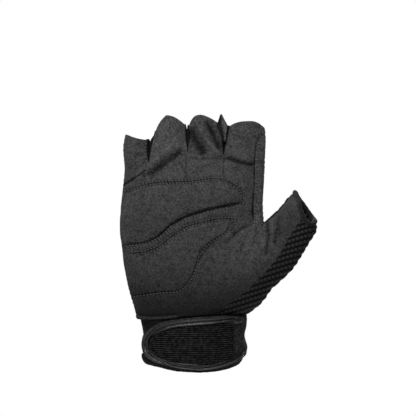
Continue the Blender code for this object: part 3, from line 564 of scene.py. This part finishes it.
UPPER_PAD_EDGES = ((UPPER_PAD_TOP, 4.5), (UPPER_PAD_FOOT[:5], 1.1), (UPPER_PAD_FOOT[4:], 3.2))
HEEL_PAD_EDGES = ((HEEL_PAD_TOP, 2.5), (HEEL_PAD_FOOT, 3.5))
UPPER_PAD_HEIGHT, HEEL_PAD_HEIGHT = 1.7, 0.9
upper_pad = lay_pad("upper_pad", "upper_pad_suede", UPPER_PAD_EDGES, UPPER_PAD_HEIGHT)
heel_pad = lay_pad("heel_pad", "heel_pad_suede", HEEL_PAD_EDGES, HEEL_PAD_HEIGHT)
print("pads:", len(upper_pad.data.polygons), "and", len(heel_pad.data.polygons), "faces")

# %% [markdown]
# ## The index strip
# A narrow strip of the same suede closes the outer side of the index stall. It is lightly
# wrinkled, because it takes up the pull of the seam.

# %% Copy the index strip
strip = copy_of("index_strip", "index_strip_suede", LEVELS)
strip_points = points_of(strip)
# height of each wrinkle, how far its middle lies above its ends
WRINKLES = ((157, 1.5), (148, -1), (139, 1), (131, -1.2), (122, 1), (113, -1), (106, 1))
strip_forms = [("strip wrinkle", 0.9, -0.3, ((40, z), (44, z + tilt), (48, z))) for z, tilt in WRINKLES]
strip_forms.append(("seam beside the palm", 0.8, -0.6, INDEX_SEAM))
STRIP_PALER, STRIP_SLACK = 1.75, 0.2
rise, hollow = pressed(as_seen(strip_points), strip_forms)
pits = pricked(as_seen(strip_points))
move_wall(strip, rise + STRIP_SLACK * unevenness(strip_points, 7, 1.0) - PIT_DEPTH * pits)
# hollow: the strip's wrinkles, seam and pits, where the suede finish paints shade
set_values(strip, "hollow", np.maximum(hollow, pits))
# the strip takes the palm's painted light and shade, made paler by STRIP_PALER
set_values(strip, "tone", STRIP_PALER * painted_light_at(as_seen(strip_points)))
meet_seams(strip)
print("index strip:", len(strip.data.polygons), "faces")

# %% [markdown]
# ## The mesh panels
# The back of the glove, the thumb's side and the finger gussets are knitted mesh. Thick ribs run
# across the hand and rise a little towards the thumb, with short dashes of yarn across them. The
# ribs are pressed into the points, so that they also show at the outline.

# %% Press the mesh's ribs
RIB_PITCH = 3.2
RIB_TILT = math.radians(17)
DASHES_PER_PITCH = 1.15


def rib_rise(points, depth, pitch=RIB_PITCH):
    """Rounded ribs with narrow valleys, broken by dashes that step from rib to rib."""
    x, z = points[:, 0] / MM, points[:, 2] / MM
    across = (-x * math.sin(RIB_TILT) + z * math.cos(RIB_TILT)) / pitch
    along = (x * math.cos(RIB_TILT) + z * math.sin(RIB_TILT)) / pitch
    rib = np.abs(np.sin(math.pi * across)) ** 0.7
    dash = np.abs(np.sin(math.pi * (along * DASHES_PER_PITCH + 0.5 * np.floor(across)))) ** 0.6
    return depth * (rib * (0.7 + 0.3 * dash) - 0.6)


def ribbed(node, name, levels, depth, pitch=RIB_PITCH, lumps=0.25):
    """A copy with ribs pressed in and, under them, soft lumps of the given height."""
    piece = copy_of(node, name, levels)
    points = points_of(piece)
    move_wall(piece, rib_rise(points, depth, pitch) + lumps * unevenness(points, 12, 5.0))
    meet_seams(piece)
    return piece


thumb_side = ribbed("thumb_mesh", "thumb_side_mesh", LEVELS, 0.7)
back = ribbed("back_panel", "back_mesh", LEVELS, 0.45)
print("mesh panels:", len(thumb_side.data.polygons), "and", len(back.data.polygons), "faces")

# %% [markdown]
# Along the web between the thumb and the hand, the back's mesh peeps out past the suede as a thin
# dark edge. Its points near that edge are shifted up and to the left.

# %% Let the mesh show at the web
WEB_SHIFT, WEB_WAY = 0.9, (-0.65, 0, 0.76)
WEB_EDGE = ((46.5, 99.8), (51.4, 102.7), (55.6, 107.3), (60.3, 112.9), (64.9, 119.3))
back_points = points_of(back)
beside_web, share = from_line(as_seen(back_points), smooth_line(WEB_EDGE))
shown = np.exp(-(beside_web / 2.0) ** 2) * ease(share, 0, 0.2) * ease(1 - share, 0, 0.2)
set_points(back, back_points + np.outer(shown * WEB_SHIFT * MM, WEB_WAY))
print(int((shown > 0.5).sum()), "points moved at the web")

# %% [markdown]
# A gusset joins two stalls. Between their fronts and their backs it is slack, and its two sides
# meet in the middle of the slit, so that no light comes through.

# %% Close the slits with the gussets
FINE_PITCH = 1.6
gussets = [ribbed("gusset_" + stall, stall + "_gusset_mesh", LEVELS, 0.15, FINE_PITCH, 0.1)
           for stall in ("little", "middle", "index")]
MEETS = 0.97
# the middle line of each slit, as x at two heights z
SLITS = (((-30.4, 138), (-29.1, 160)), ((-4.6, 146), (-5.2, 168)), ((19.4, 144), (20.6, 172)))
for gusset, ((x_low, z_low), (x_high, z_high)) in zip(gussets, SLITS):
    points = points_of(gusset)
    x, y, z = (points / MM).T
    middle = x_low + (x_high - x_low) * (z - z_low) / (z_high - z_low)
    between = ease(0.95 - np.abs(y - y.mean()) / (np.ptp(y) / 2), 0, 0.5)
    near = ease(3.5 - np.abs(x - middle), 0, 1.5)
    below_top = 1 - ease(z, z_high - 7, z_high - 1)
    points[:, 0] += (middle - x) * MEETS * between * near * below_top * MM
    set_points(gusset, points)
print("gussets:", [len(gusset.data.polygons) for gusset in gussets], "faces")

# %% [markdown]
# The gusset between the middle and the index stall has cloth to spare, which stands out of the
# slit as a pointed fold. The copy is drawn to a table of its two edges and pulled down into the
# slit. Its left half is dark, because it turns from the light.

# %% Shape the loose fold
fold = ribbed("gusset_fold", "loose_fold_mesh", 3, 0.05, FINE_PITCH, 0.2)
points = points_of(fold)
# height, then x of the left and of the right edge
FOLD_EDGES = np.array((
    (159, 18.8, 21.0),
    (161, 17.2, 21.6),
    (163.5, 14.0, 22.3),
    (168, 15.8, 20.2),
    (171.5, 17.2, 18.4),
))
heights = points[:, 2] / MM
level = [points[np.abs(heights - z) < 1.2, 0] for z in heights]
left, right = np.array([x.min() for x in level]), np.array([x.max() for x in level])
share = (points[:, 0] - left) / (right - left)
new_left, new_right = (np.interp(heights, FOLD_EDGES[:, 0], FOLD_EDGES[:, k]) for k in (1, 2))
points[:, 0] = (new_left + (new_right - new_left) * share) * MM
# its foot leans out of the palm, and is drawn out downwards
LEAN_OUT, FOOT_TOP, DRAWN_DOWN = 2.0, 163, 1.5
points[:, 1] -= LEAN_OUT * MM * (1 - ease(heights, 160, 167))
points[:, 2] -= DRAWN_DOWN * np.maximum(FOOT_TOP - heights, 0) * MM
set_points(fold, points)
set_values(fold, "tone", 0.15 + 0.85 * ease(share, 0.4, 0.6))
print("loose fold:", len(fold.data.polygons), "faces")

# %% [markdown]
# ## The thumb hem
# The thumb's opening is turned back in a narrow roll of suede. It is swollen a little, so that it
# meets the panels, and small puckers run across it. It is darker where it turns from the light.

# %% Copy the thumb hem
HEM_SWELL, HEM_PUCKER = 0.6, 0.2
thumb_hem = copy_of("thumb_binding", "thumb_hem_suede", 2, sharp=80)
hem_points = points_of(thumb_hem)
swell = HEM_SWELL + HEM_PUCKER * unevenness(hem_points, 2.2, 2.0)
set_points(thumb_hem, hem_points + points_of(thumb_hem, "normal") * (swell * MM)[:, None])
set_values(thumb_hem, "hollow", np.zeros(len(hem_points)))
set_values(thumb_hem, "tone", 0.6 - 0.3 * ease(hem_points[:, 0] / MM, 62, 74))
print("thumb hem:", len(thumb_hem.data.polygons), "faces")

# %% [markdown]
# ## The cuff
# The cuff is a knitted stretch band with a rolled lower edge. It is pulled tight by the tab, so it
# carries a few shallow puckers that run up and down, and its thumb side is drawn in by the tab's
# middle. Its top is sewn to the palm with a rolled seam, which is paler than the knit.

# %% Copy the cuff
# height, half width and depth in millimetres, a negative depth where the side stands out
DRAWN_IN = ((25, 4, 1.0), (17, 3, -0.7))


def pulled_in(points):
    """How far the wrist's thumb side is drawn in under the tab's middle."""
    x, z = points[:, 0] / MM, points[:, 2] / MM
    wave = sum(depth * np.exp(-((z - height) / half_width) ** 2) for height, half_width, depth in DRAWN_IN)
    return wave * ease(x, 22, 33) * MM


cuff = copy_of("cuff_band", "cuff_knit", 2)
cuff_points = points_of(cuff)
pucker = unevenness(cuff_points * [1, 1, 0.25], 5, 4.0)
ROLLED_SEAM = ((-38, 36.4), (-31, 34.5), (-23, 33.6), (-10, 33.4))
PUCKER_DEPTH, KNIT_LUMPS, SEAM_PALER = 0.3, 0.15, 2.6
seam, _ = pressed(as_seen(cuff_points), (("rolled seam under the palm's hem", 0.8, 0.9, ROLLED_SEAM),))
seam *= points_of(cuff, "normal")[:, 1] < 0
move_wall(cuff, seam + PUCKER_DEPTH * pucker + KNIT_LUMPS * unevenness(cuff_points, 4, 9.0))
# the band's lower rim reaches down to the rolled edge
RIM_DROP = 0.9
cuff_points = points_of(cuff)
cuff_points[:, 2] -= RIM_DROP * MM * (1 - ease(cuff_points[:, 2] / MM, 13.3, 15.5))
cuff_points[:, 0] -= pulled_in(cuff_points)
set_points(cuff, cuff_points)
set_values(cuff, "tone", 1 + SEAM_PALER * seam)
print("cuff:", len(cuff.data.polygons), "faces")

# %% Copy the rolled edge
EDGE_LUMPS = 0.18
cuff_edge = copy_of("cuff_binding", "cuff_rolled_edge", 2, sharp=80)
edge_points = points_of(cuff_edge)
lumps = EDGE_LUMPS * MM * unevenness(edge_points, 2.5, 6.0)
set_points(cuff_edge, edge_points + points_of(cuff_edge, "normal") * lumps[:, None])
set_values(cuff_edge, "tone", np.ones(len(edge_points)))
print("rolled edge:", len(cuff_edge.data.polygons), "faces")

# %% [markdown]
# ## The closure tab
# The tab is a stiff layer with a finely ribbed woven panel and a glossy piping round its edge. The
# piping is a strip folded over the edge and sewn, so it stands in two ridges with a stitch line
# between them, and it wrinkles across where it turns.

# %% Copy the tab
tab = copy_of("closure_tab", "closure_tab_cloth", 2)
# the layer of hooks and loops fills most of the space between the tab and the cuff
LOOP_LAYER = 1.3
tab_points, tab_normals = points_of(tab), points_of(tab, "normal")
faces_cuff = (tab_normals * away_from_cores(tab_points)).sum(1) < -0.5
tab_points = tab_points + tab_normals * (faces_cuff * LOOP_LAYER * MM)[:, None]
tab_points[:, 0] -= pulled_in(tab_points)
set_points(tab, tab_points)
print("tab:", len(tab.data.polygons), "faces")

# %% Rib the woven panel
woven = copy_of("tab_panel", "tab_woven_panel", LEVELS + 1)
woven_points = points_of(woven)
WEAVE_PITCH, WEAVE_SWAY, SWAY_RATE, WEAVE_DEPTH = 1.37, 0.12, 1.3, 0.35
sway = WEAVE_SWAY * np.sin(woven_points[:, 0] / MM * SWAY_RATE)
level_ribs = np.abs(np.sin(math.pi * (woven_points[:, 2] / MM + sway) / WEAVE_PITCH)) ** 0.8
move_wall(woven, WEAVE_DEPTH * (level_ribs - 0.5))
print("woven panel:", len(woven.data.polygons), "faces")

# %% [markdown]
# Two lines, the piping's outer and inner edge, tell how far across the piping each point lies.
# That gives the two ridges. The way along the outer edge gives the puckers.

# %% Shape the piping
TAB_OUTLINE = (
    (26.9, 37.5), (14.1, 36.2), (1.3, 35.5), (-11.4, 34.3), (-21.6, 32.7), (-28, 28.2), (-32.5, 23.1),
    (-33.7, 19.3), (-32.5, 14.9), (-28.6, 10.4), (-22.9, 6.5), (-13.9, 2.7), (1.3, 0.8), (11.5, 1.1),
    (23.7, 4.6), (32.6, 9.7),
)
PIPING_INNER = (
    (26.2, 33.7), (14.1, 31.4), (1.3, 30.1), (-11.4, 29.5), (-21.6, 26.7), (-26.1, 22.5), (-27.3, 19.3),
    (-26.4, 14.9), (-22.9, 10.4), (-15.2, 5.9), (-6.3, 3.7), (4.5, 3.7), (14.1, 5.6), (24.9, 9.7),
    (32.6, 13.5),
)
RIDGE_HEIGHT, PUCKER_PITCH, PUCKER_HEIGHT, WRINKLE_HEIGHT = 0.55, 1.4, 0.17, 0.35
piping = copy_of("tab_binding", "tab_piping", 3, sharp=80)
piping_points = points_of(piping)
seen = as_seen(piping_points)
outside, along = from_line(seen, smooth_line(TAB_OUTLINE))
inside, _ = from_line(seen, smooth_line(PIPING_INNER))
across = outside / (outside + inside + 1e-6)
ridges = RIDGE_HEIGHT * np.cos(4 * math.pi * across + math.pi)
length = np.linalg.norm(np.diff(smooth_line(TAB_OUTLINE), axis=0), axis=1).sum()
puckers = np.sin(2 * math.pi * along * length / PUCKER_PITCH + 2 * across)
wrinkles = unevenness(np.column_stack([along * 0.26, across * 0.002, along * 0]), 2.2, 8.0)
front = points_of(piping, "normal")[:, 1] < -0.2
# its two ends are tucked in at the thumb's side
END_TUCK = 1.1
piping_points[:, 0] -= END_TUCK * MM * ease(piping_points[:, 0] / MM, 30, 35)
# the wrinkles are strongest along the upper edge
strength = 0.3 + 0.7 * ease(seen[:, 1], 18, 30)
lift = np.where(front, ridges + (PUCKER_HEIGHT * puckers + WRINKLE_HEIGHT * wrinkles) * strength, 0)
set_points(piping, piping_points + points_of(piping, "normal") * (lift * MM)[:, None])
# painted shade in the groove between the two ridges and along the piping's edges
set_values(piping, "hollow", np.where(front, ease(-ridges, 0.1, 0.5), 0))
print("piping:", len(piping.data.polygons), "faces")

# %% [markdown]
# ## Stitches
# The pads, the index strip and the little stall are sewn with a thick thread, whose stitches are
# 1.5 mm long and 2.2 mm apart. One stitch is modelled from a sphere with eight sides, drawn out
# and flattened, and copied along every seam. Each copy lies where a ray from the camera meets the
# suede, and is turned to lie flat on it.

# %% Model one stitch
STITCH_LENGTH, STITCH_WIDTH, STITCH_FLATNESS = 1.5, 0.7, 0.8
bpy.ops.object.select_all(action="DESELECT")
bpy.ops.mesh.primitive_uv_sphere_add(segments=8, ring_count=5, radius=STITCH_WIDTH / 2 * MM,
                                     location=(0, 0, 0), rotation=(0, math.radians(90), 0))
stitch = bpy.context.object
bpy.ops.object.transform_apply(location=False, rotation=True, scale=False)
stitch_points = points_of(stitch)
ends = np.sign(stitch_points[:, 0]) * (STITCH_LENGTH - STITCH_WIDTH) / 2 * MM
stitch_points[:, 0] += np.where(np.abs(stitch_points[:, 0]) > 0.01 * MM, ends, 0)
stitch_points[:, 2] *= STITCH_FLATNESS
set_points(stitch, stitch_points)
bpy.ops.object.shade_smooth()
print("one stitch has", len(stitch.data.polygons), "faces")

# %% Find where a stitch lies
def cast(targets, spot):
    """Where a ray from the eye through the seen spot first meets one of the surfaces."""
    aim = Vector((spot[0] * MM, 0, spot[1] * MM)) - EYE
    hits = [surface.ray_cast(EYE, aim.normalized()) for surface in targets]
    hits = [hit for hit in hits if hit[0] is not None]
    return min(hits, key=lambda hit: hit[3]) if hits else None


def surface_of(piece):
    points = [Vector(p) for p in points_of(piece)]
    return BVHTree.FromPolygons(points, [list(face.vertices) for face in piece.data.polygons])


targets = [surface_of(p) for p in (palm, upper_pad, heel_pad, strip)]
print("stitches can lie on", len(targets), "pieces")

# %% Sew the rows
STITCH_LIFT = 0.05
sewn = []
for line, beside in STITCH_ROWS:
    for spot, way in marks_on(offset_line(smooth_line(line), beside), STITCH_PITCH):
        hit = cast(targets, spot)
        if hit is None:
            continue
        place, normal = hit[0], hit[1]
        length_way = Vector((way[0], 0, way[1]))
        length_way = (length_way - normal * length_way.dot(normal)).normalized()
        turn = Matrix((length_way, normal.cross(length_way), normal)).transposed().to_4x4()
        one = bpy.data.objects.new("stitch", stitch.data.copy())
        bpy.context.scene.collection.objects.link(one)
        one.matrix_world = Matrix.Translation(place + normal * STITCH_LIFT * MM) @ turn
        sewn.append(one)
pick(sewn[0])
for one in sewn:
    one.select_set(True)
bpy.ops.object.join()
stitches = bpy.context.object
stitches.name = "stitches"
bpy.ops.object.transform_apply(location=True, rotation=True, scale=True)
bpy.data.objects.remove(stitch)
print(len(sewn), "stitches,", len(stitches.data.polygons), "faces")

# %% [markdown]
# ## Finishes
# Every finish is built from the object's own coordinates, so it holds still when the view turns.
# Noise and waves give the patterns of nap, yarn and weave, and the values kept at each point tell
# where the cloth is pressed and where light and shade are painted on it.

# %% Patterns for a finish
class Patterns:
    def __init__(self, name):
        self.material = bpy.data.materials.new(name)
        self.material.use_nodes = True
        self.tree = self.material.node_tree
        self.place = self.tree.nodes.new("ShaderNodeTexCoord").outputs["Object"]

    def join(self, start, end):
        self.tree.links.new(start, end)

    def math(self, kind, first, second=0.0):
        node = self.tree.nodes.new("ShaderNodeMath")
        node.operation = kind
        for socket, value in zip(node.inputs, (first, second)):
            if isinstance(value, (int, float)):
                socket.default_value = value
            else:
                self.join(value, socket)
        return node.outputs[0]

    def grain(self, size, detail=3.0, roughness=0.6):
        """Noise from 0 to 1 with marks of about that size in millimetres."""
        node = self.tree.nodes.new("ShaderNodeTexNoise")
        node.inputs["Scale"].default_value = 1 / (size * MM)
        node.inputs["Detail"].default_value = detail
        node.inputs["Roughness"].default_value = roughness
        self.join(self.place, node.inputs["Vector"])
        return node.outputs["Fac"]

    def along(self, direction, pitch):
        """Distance along a direction, counted in pitches of that many millimetres."""
        node = self.tree.nodes.new("ShaderNodeVectorMath")
        node.operation = "DOT_PRODUCT"
        node.inputs[1].default_value = [d / (pitch * MM) for d in direction]
        self.join(self.place, node.inputs[0])
        return node.outputs["Value"]

    def wave(self, count):
        """A rounded wave from 0 to 1 for a count of pitches."""
        turned = self.math("SINE", self.math("MULTIPLY", count, math.pi))
        return self.math("POWER", self.math("ABSOLUTE", turned), 0.7)

    def kept(self, name):
        """A value that was set at each point of the mesh."""
        node = self.tree.nodes.new("ShaderNodeAttribute")
        node.attribute_name = name
        return node.outputs["Fac"]


print("patterns: noise, waves and kept values")

# %% [markdown]
# A finish joins its patterns to one Principled shader: a ramp turns them into a colour, and a bump
# into small relief. Roughness, sheen and coat are the same all over, so they are plain numbers.

# %% The finish builder
class Finish(Patterns):
    def __init__(self, name, roughness, sheen=0.0, coat=0.0, shine=0.15):
        super().__init__(name)
        self.shader = self.tree.nodes["Principled BSDF"]
        self.shader.inputs["Roughness"].default_value = roughness
        self.shader.inputs["Specular IOR Level"].default_value = shine
        self.shader.inputs["Sheen Weight"].default_value = sheen
        self.shader.inputs["Sheen Roughness"].default_value = 0.5
        self.shader.inputs["Coat Weight"].default_value = coat
        self.shader.inputs["Coat Roughness"].default_value = 0.25

    def colour(self, amount, dark, light, start=0.0, end=1.0):
        """Sets the base colour, dark below the amount start and light above end."""
        ramp = self.tree.nodes.new("ShaderNodeValToRGB")
        ramp.color_ramp.elements[0].position = start
        ramp.color_ramp.elements[1].position = end
        ramp.color_ramp.elements[0].color = (*dark, 1)
        ramp.color_ramp.elements[1].color = (*light, 1)
        self.join(amount, ramp.inputs["Fac"])
        self.join(ramp.outputs["Color"], self.shader.inputs["Base Color"])
        return ramp.outputs["Color"]

    def tone(self, colour):
        """Scales the colour by the tone kept at each point."""
        node = self.tree.nodes.new("ShaderNodeVectorMath")
        node.operation = "SCALE"
        self.join(colour, node.inputs[0])
        self.join(self.kept("tone"), node.inputs["Scale"])
        self.join(node.outputs["Vector"], self.shader.inputs["Base Color"])

    def bump(self, height, depth):
        """Bump from a height of 0 to 1 that stands for a depth in millimetres."""
        node = self.tree.nodes.new("ShaderNodeBump")
        node.inputs["Distance"].default_value = depth * MM
        node.inputs["Strength"].default_value = 1.0
        self.join(height, node.inputs["Height"])
        self.join(node.outputs["Normal"], self.shader.inputs["Normal"])


def grey(value, tint=0.0):
    """A grey with a little blue where tint is above 0."""
    return (value, value * (1 + tint * 0.3), value * (1 + tint))


print("a dark grey:", grey(0.1, 0.02))

# %% [markdown]
# The suede is matt charcoal with a short nap. Brushed patches are paler, and the sewn hollows, folds
# and pits are painted darker as painted shade.

# %% Suede
suede = Finish("charcoal_suede", 0.93, sheen=0.08)
nap, patches, fibres = suede.grain(1.2, 3.0, 0.7), suede.grain(5.0, 3.0), suede.grain(0.4, 2.0)
mottle = suede.math("ADD", suede.math("MULTIPLY", nap, 0.75), suede.math("MULTIPLY", patches, 0.25))
# painted shade in the sewn lines, folds, channels and pits
mottle = suede.math("SUBTRACT", mottle, suede.math("MULTIPLY", suede.kept("hollow"), 0.18))
suede.tone(suede.colour(mottle, grey(0.008, 0.02), grey(0.1, 0.02), 0.33, 0.67))
suede.bump(suede.math("ADD", nap, suede.math("MULTIPLY", fibres, 0.5)), 0.5)
print("suede nodes:", len(suede.tree.nodes))

# %% [markdown]
# The mesh is black yarn. Its ribs follow the same lines as the pressed ones: their tops are painted
# dark grey as a painted highlight and the valleys between them nearly black as painted shade, with
# holes between the dashes.

# %% Ribbed mesh
def rib_finish(name, pitch, dark, light, depth):
    finish = Finish(name, 0.7, sheen=0.03, shine=0.1)
    tilt = (-math.sin(RIB_TILT), 0, math.cos(RIB_TILT))
    way = (math.cos(RIB_TILT), 0, math.sin(RIB_TILT))
    count = finish.along(tilt, pitch)
    rib = finish.wave(count)
    step = finish.math("MULTIPLY", finish.math("FLOOR", count), 0.5)
    dash = finish.wave(finish.math("ADD", finish.along(way, pitch / DASHES_PER_PITCH), step))
    yarn = finish.math("MULTIPLY", rib, finish.math("ADD", finish.math("MULTIPLY", dash, 0.55), 0.45))
    shown = finish.math("MULTIPLY", yarn, finish.math("ADD", finish.grain(0.6), 0.5))
    # painted highlight on the rib tops and painted shade in the valleys
    finish.colour(shown, grey(dark), grey(light), 0.35, 0.95)
    finish.bump(finish.math("ADD", yarn, finish.math("MULTIPLY", finish.grain(0.4), 0.3)), depth)
    return finish


mesh_cloth = rib_finish("ribbed_mesh", RIB_PITCH, 0.0005, 0.038, 0.4)
gusset_cloth = rib_finish("fine_mesh", FINE_PITCH, 0.001, 0.012, 0.2)
print("mesh nodes:", len(mesh_cloth.tree.nodes), "and", len(gusset_cloth.tree.nodes))

# %% Paler mesh of the loose fold
fold_cloth = Finish("fine_mesh_pale", 0.8, sheen=0.03, shine=0.1)
# paler than the gussets; the tone kept on the fold paints its left half in shade
fold_cloth.tone(fold_cloth.colour(fold_cloth.grain(1.2), grey(0.012), grey(0.11), 0.33, 0.67))
fold_cloth.bump(fold_cloth.grain(0.5), 0.2)
print("fold nodes:", len(fold_cloth.tree.nodes))

# %% [markdown]
# The cuff is a fine knit with upright ribs. The tab's panel is woven with level ribs 1.37 mm
# apart, crossed by a finer weft.

# %% Knit
knit = Finish("cuff_knit_cloth", 0.85, sheen=0.03)
columns = knit.wave(knit.along((1, 1, 0), 0.9))
loops = knit.wave(knit.along((0, 0, 1), 0.7))
stuff = knit.math("ADD", knit.math("MULTIPLY", columns, 0.6), knit.math("MULTIPLY", loops, 0.4))
knit.tone(knit.colour(knit.math("MULTIPLY", stuff, knit.grain(1.0)), grey(0.002), grey(0.018)))
knit.bump(stuff, 0.2)
print("knit nodes:", len(knit.tree.nodes))

# %% Woven panel and plain tab
weave = Finish("woven_panel_cloth", 0.6, shine=0.08)
sway_wave = weave.math("SINE", weave.along((SWAY_RATE, 0, 0), 1))
swayed = weave.math("MULTIPLY", sway_wave, WEAVE_SWAY / WEAVE_PITCH)
level = weave.wave(weave.math("ADD", weave.along((0, 0, 1), WEAVE_PITCH), swayed))
weft = weave.wave(weave.along((1, 0, 0), 0.55))
threads = weave.math("MULTIPLY", level, weave.math("ADD", weave.math("MULTIPLY", weft, 0.3), 0.7))
shown = weave.math("MULTIPLY", threads, weave.math("ADD", weave.grain(2.0), 0.45))
weave.colour(shown, grey(0.0002), grey(0.055), 0.7, 1.02)
weave.bump(threads, 0.3)

tab_cloth = Finish("tab_plain_cloth", 0.75, sheen=0.03)
tab_cloth.colour(tab_cloth.grain(1.4), grey(0.001), grey(0.06), 0.38, 0.68)
tab_cloth.bump(tab_cloth.grain(0.5), 0.2)
print("weave nodes:", len(weave.tree.nodes), "plain tab nodes:", len(tab_cloth.tree.nodes))

# %% [markdown]
# The piping is a coated strip with a soft shine, and the thread is waxed and nearly black.

# %% Piping and thread
coated = Finish("coated_piping", 0.33, coat=0.25, shine=0.5)
crackle = coated.grain(1.6, 5.0, 0.65)
# the crackle, darkened by painted shade in the piping's grooves
coated_crackle_and_groove_shade = coated.math("SUBTRACT", crackle, coated.math("MULTIPLY", coated.kept("hollow"), 0.45))
coated.colour(coated_crackle_and_groove_shade, grey(0.001), grey(0.034), 0.25, 0.75)
coated.bump(coated.math("ADD", crackle, coated.math("MULTIPLY", coated.grain(0.5), 0.3)), 0.45)

thread = Finish("dark_thread", 0.5, shine=0.5)
twist = thread.wave(thread.along((0.7, 0, 0.7), 0.45))
thread.colour(twist, grey(0.02), grey(0.1))
thread.bump(twist, 0.08)
print("piping nodes:", len(coated.tree.nodes), "thread nodes:", len(thread.tree.nodes))

# %% [markdown]
# ## Finishing the pieces
# Each piece gets the finish that the table lists, rides on the root body, and hides the CAD nodes
# that it stands for. Bindings go with the cloth that they edge.

# %% Finish, ride and replace
def area_of(piece):
    return sum(face.area for face in piece.data.polygons)


# piece, finish, slot, CAD nodes
DRESSED = (
    (palm, suede, "suede", ("palm_panel",)),
    (upper_pad, suede, "suede", ("upper_pad",)),
    (heel_pad, suede, "suede", ("heel_pad",)),
    (strip, suede, "suede", ("index_strip",)),
    (thumb_hem, suede, "suede", ("thumb_binding",)),
    (thumb_side, mesh_cloth, "mesh", ("thumb_mesh",)),
    (back, mesh_cloth, "mesh", ("back_panel",)),
    (gussets[0], gusset_cloth, "mesh", ("gusset_little",)),
    (gussets[1], gusset_cloth, "mesh", ("gusset_middle",)),
    (gussets[2], gusset_cloth, "mesh", ("gusset_index",)),
    (fold, fold_cloth, "mesh", ("gusset_fold",)),
    (cuff, knit, "cuff", ("cuff_band",)),
    (cuff_edge, knit, "cuff", ("cuff_binding",)),
    (tab, tab_cloth, "cuff", ("closure_tab",)),
    (woven, weave, "woven", ("tab_panel",)),
    (piping, coated, "piping", ("tab_binding",)),
    (stitches, thread, "suede", ()),
)
for piece, finish, slot, nodes in DRESSED:
    piece.data.materials.clear()
    piece.data.materials.append(finish.material)
    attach(piece, "root")
    if nodes:
        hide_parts(*nodes)
    print(f"{piece.name}: {len(piece.data.polygons)} faces, half its surface {area_of(piece) / 2:.5f} m2")
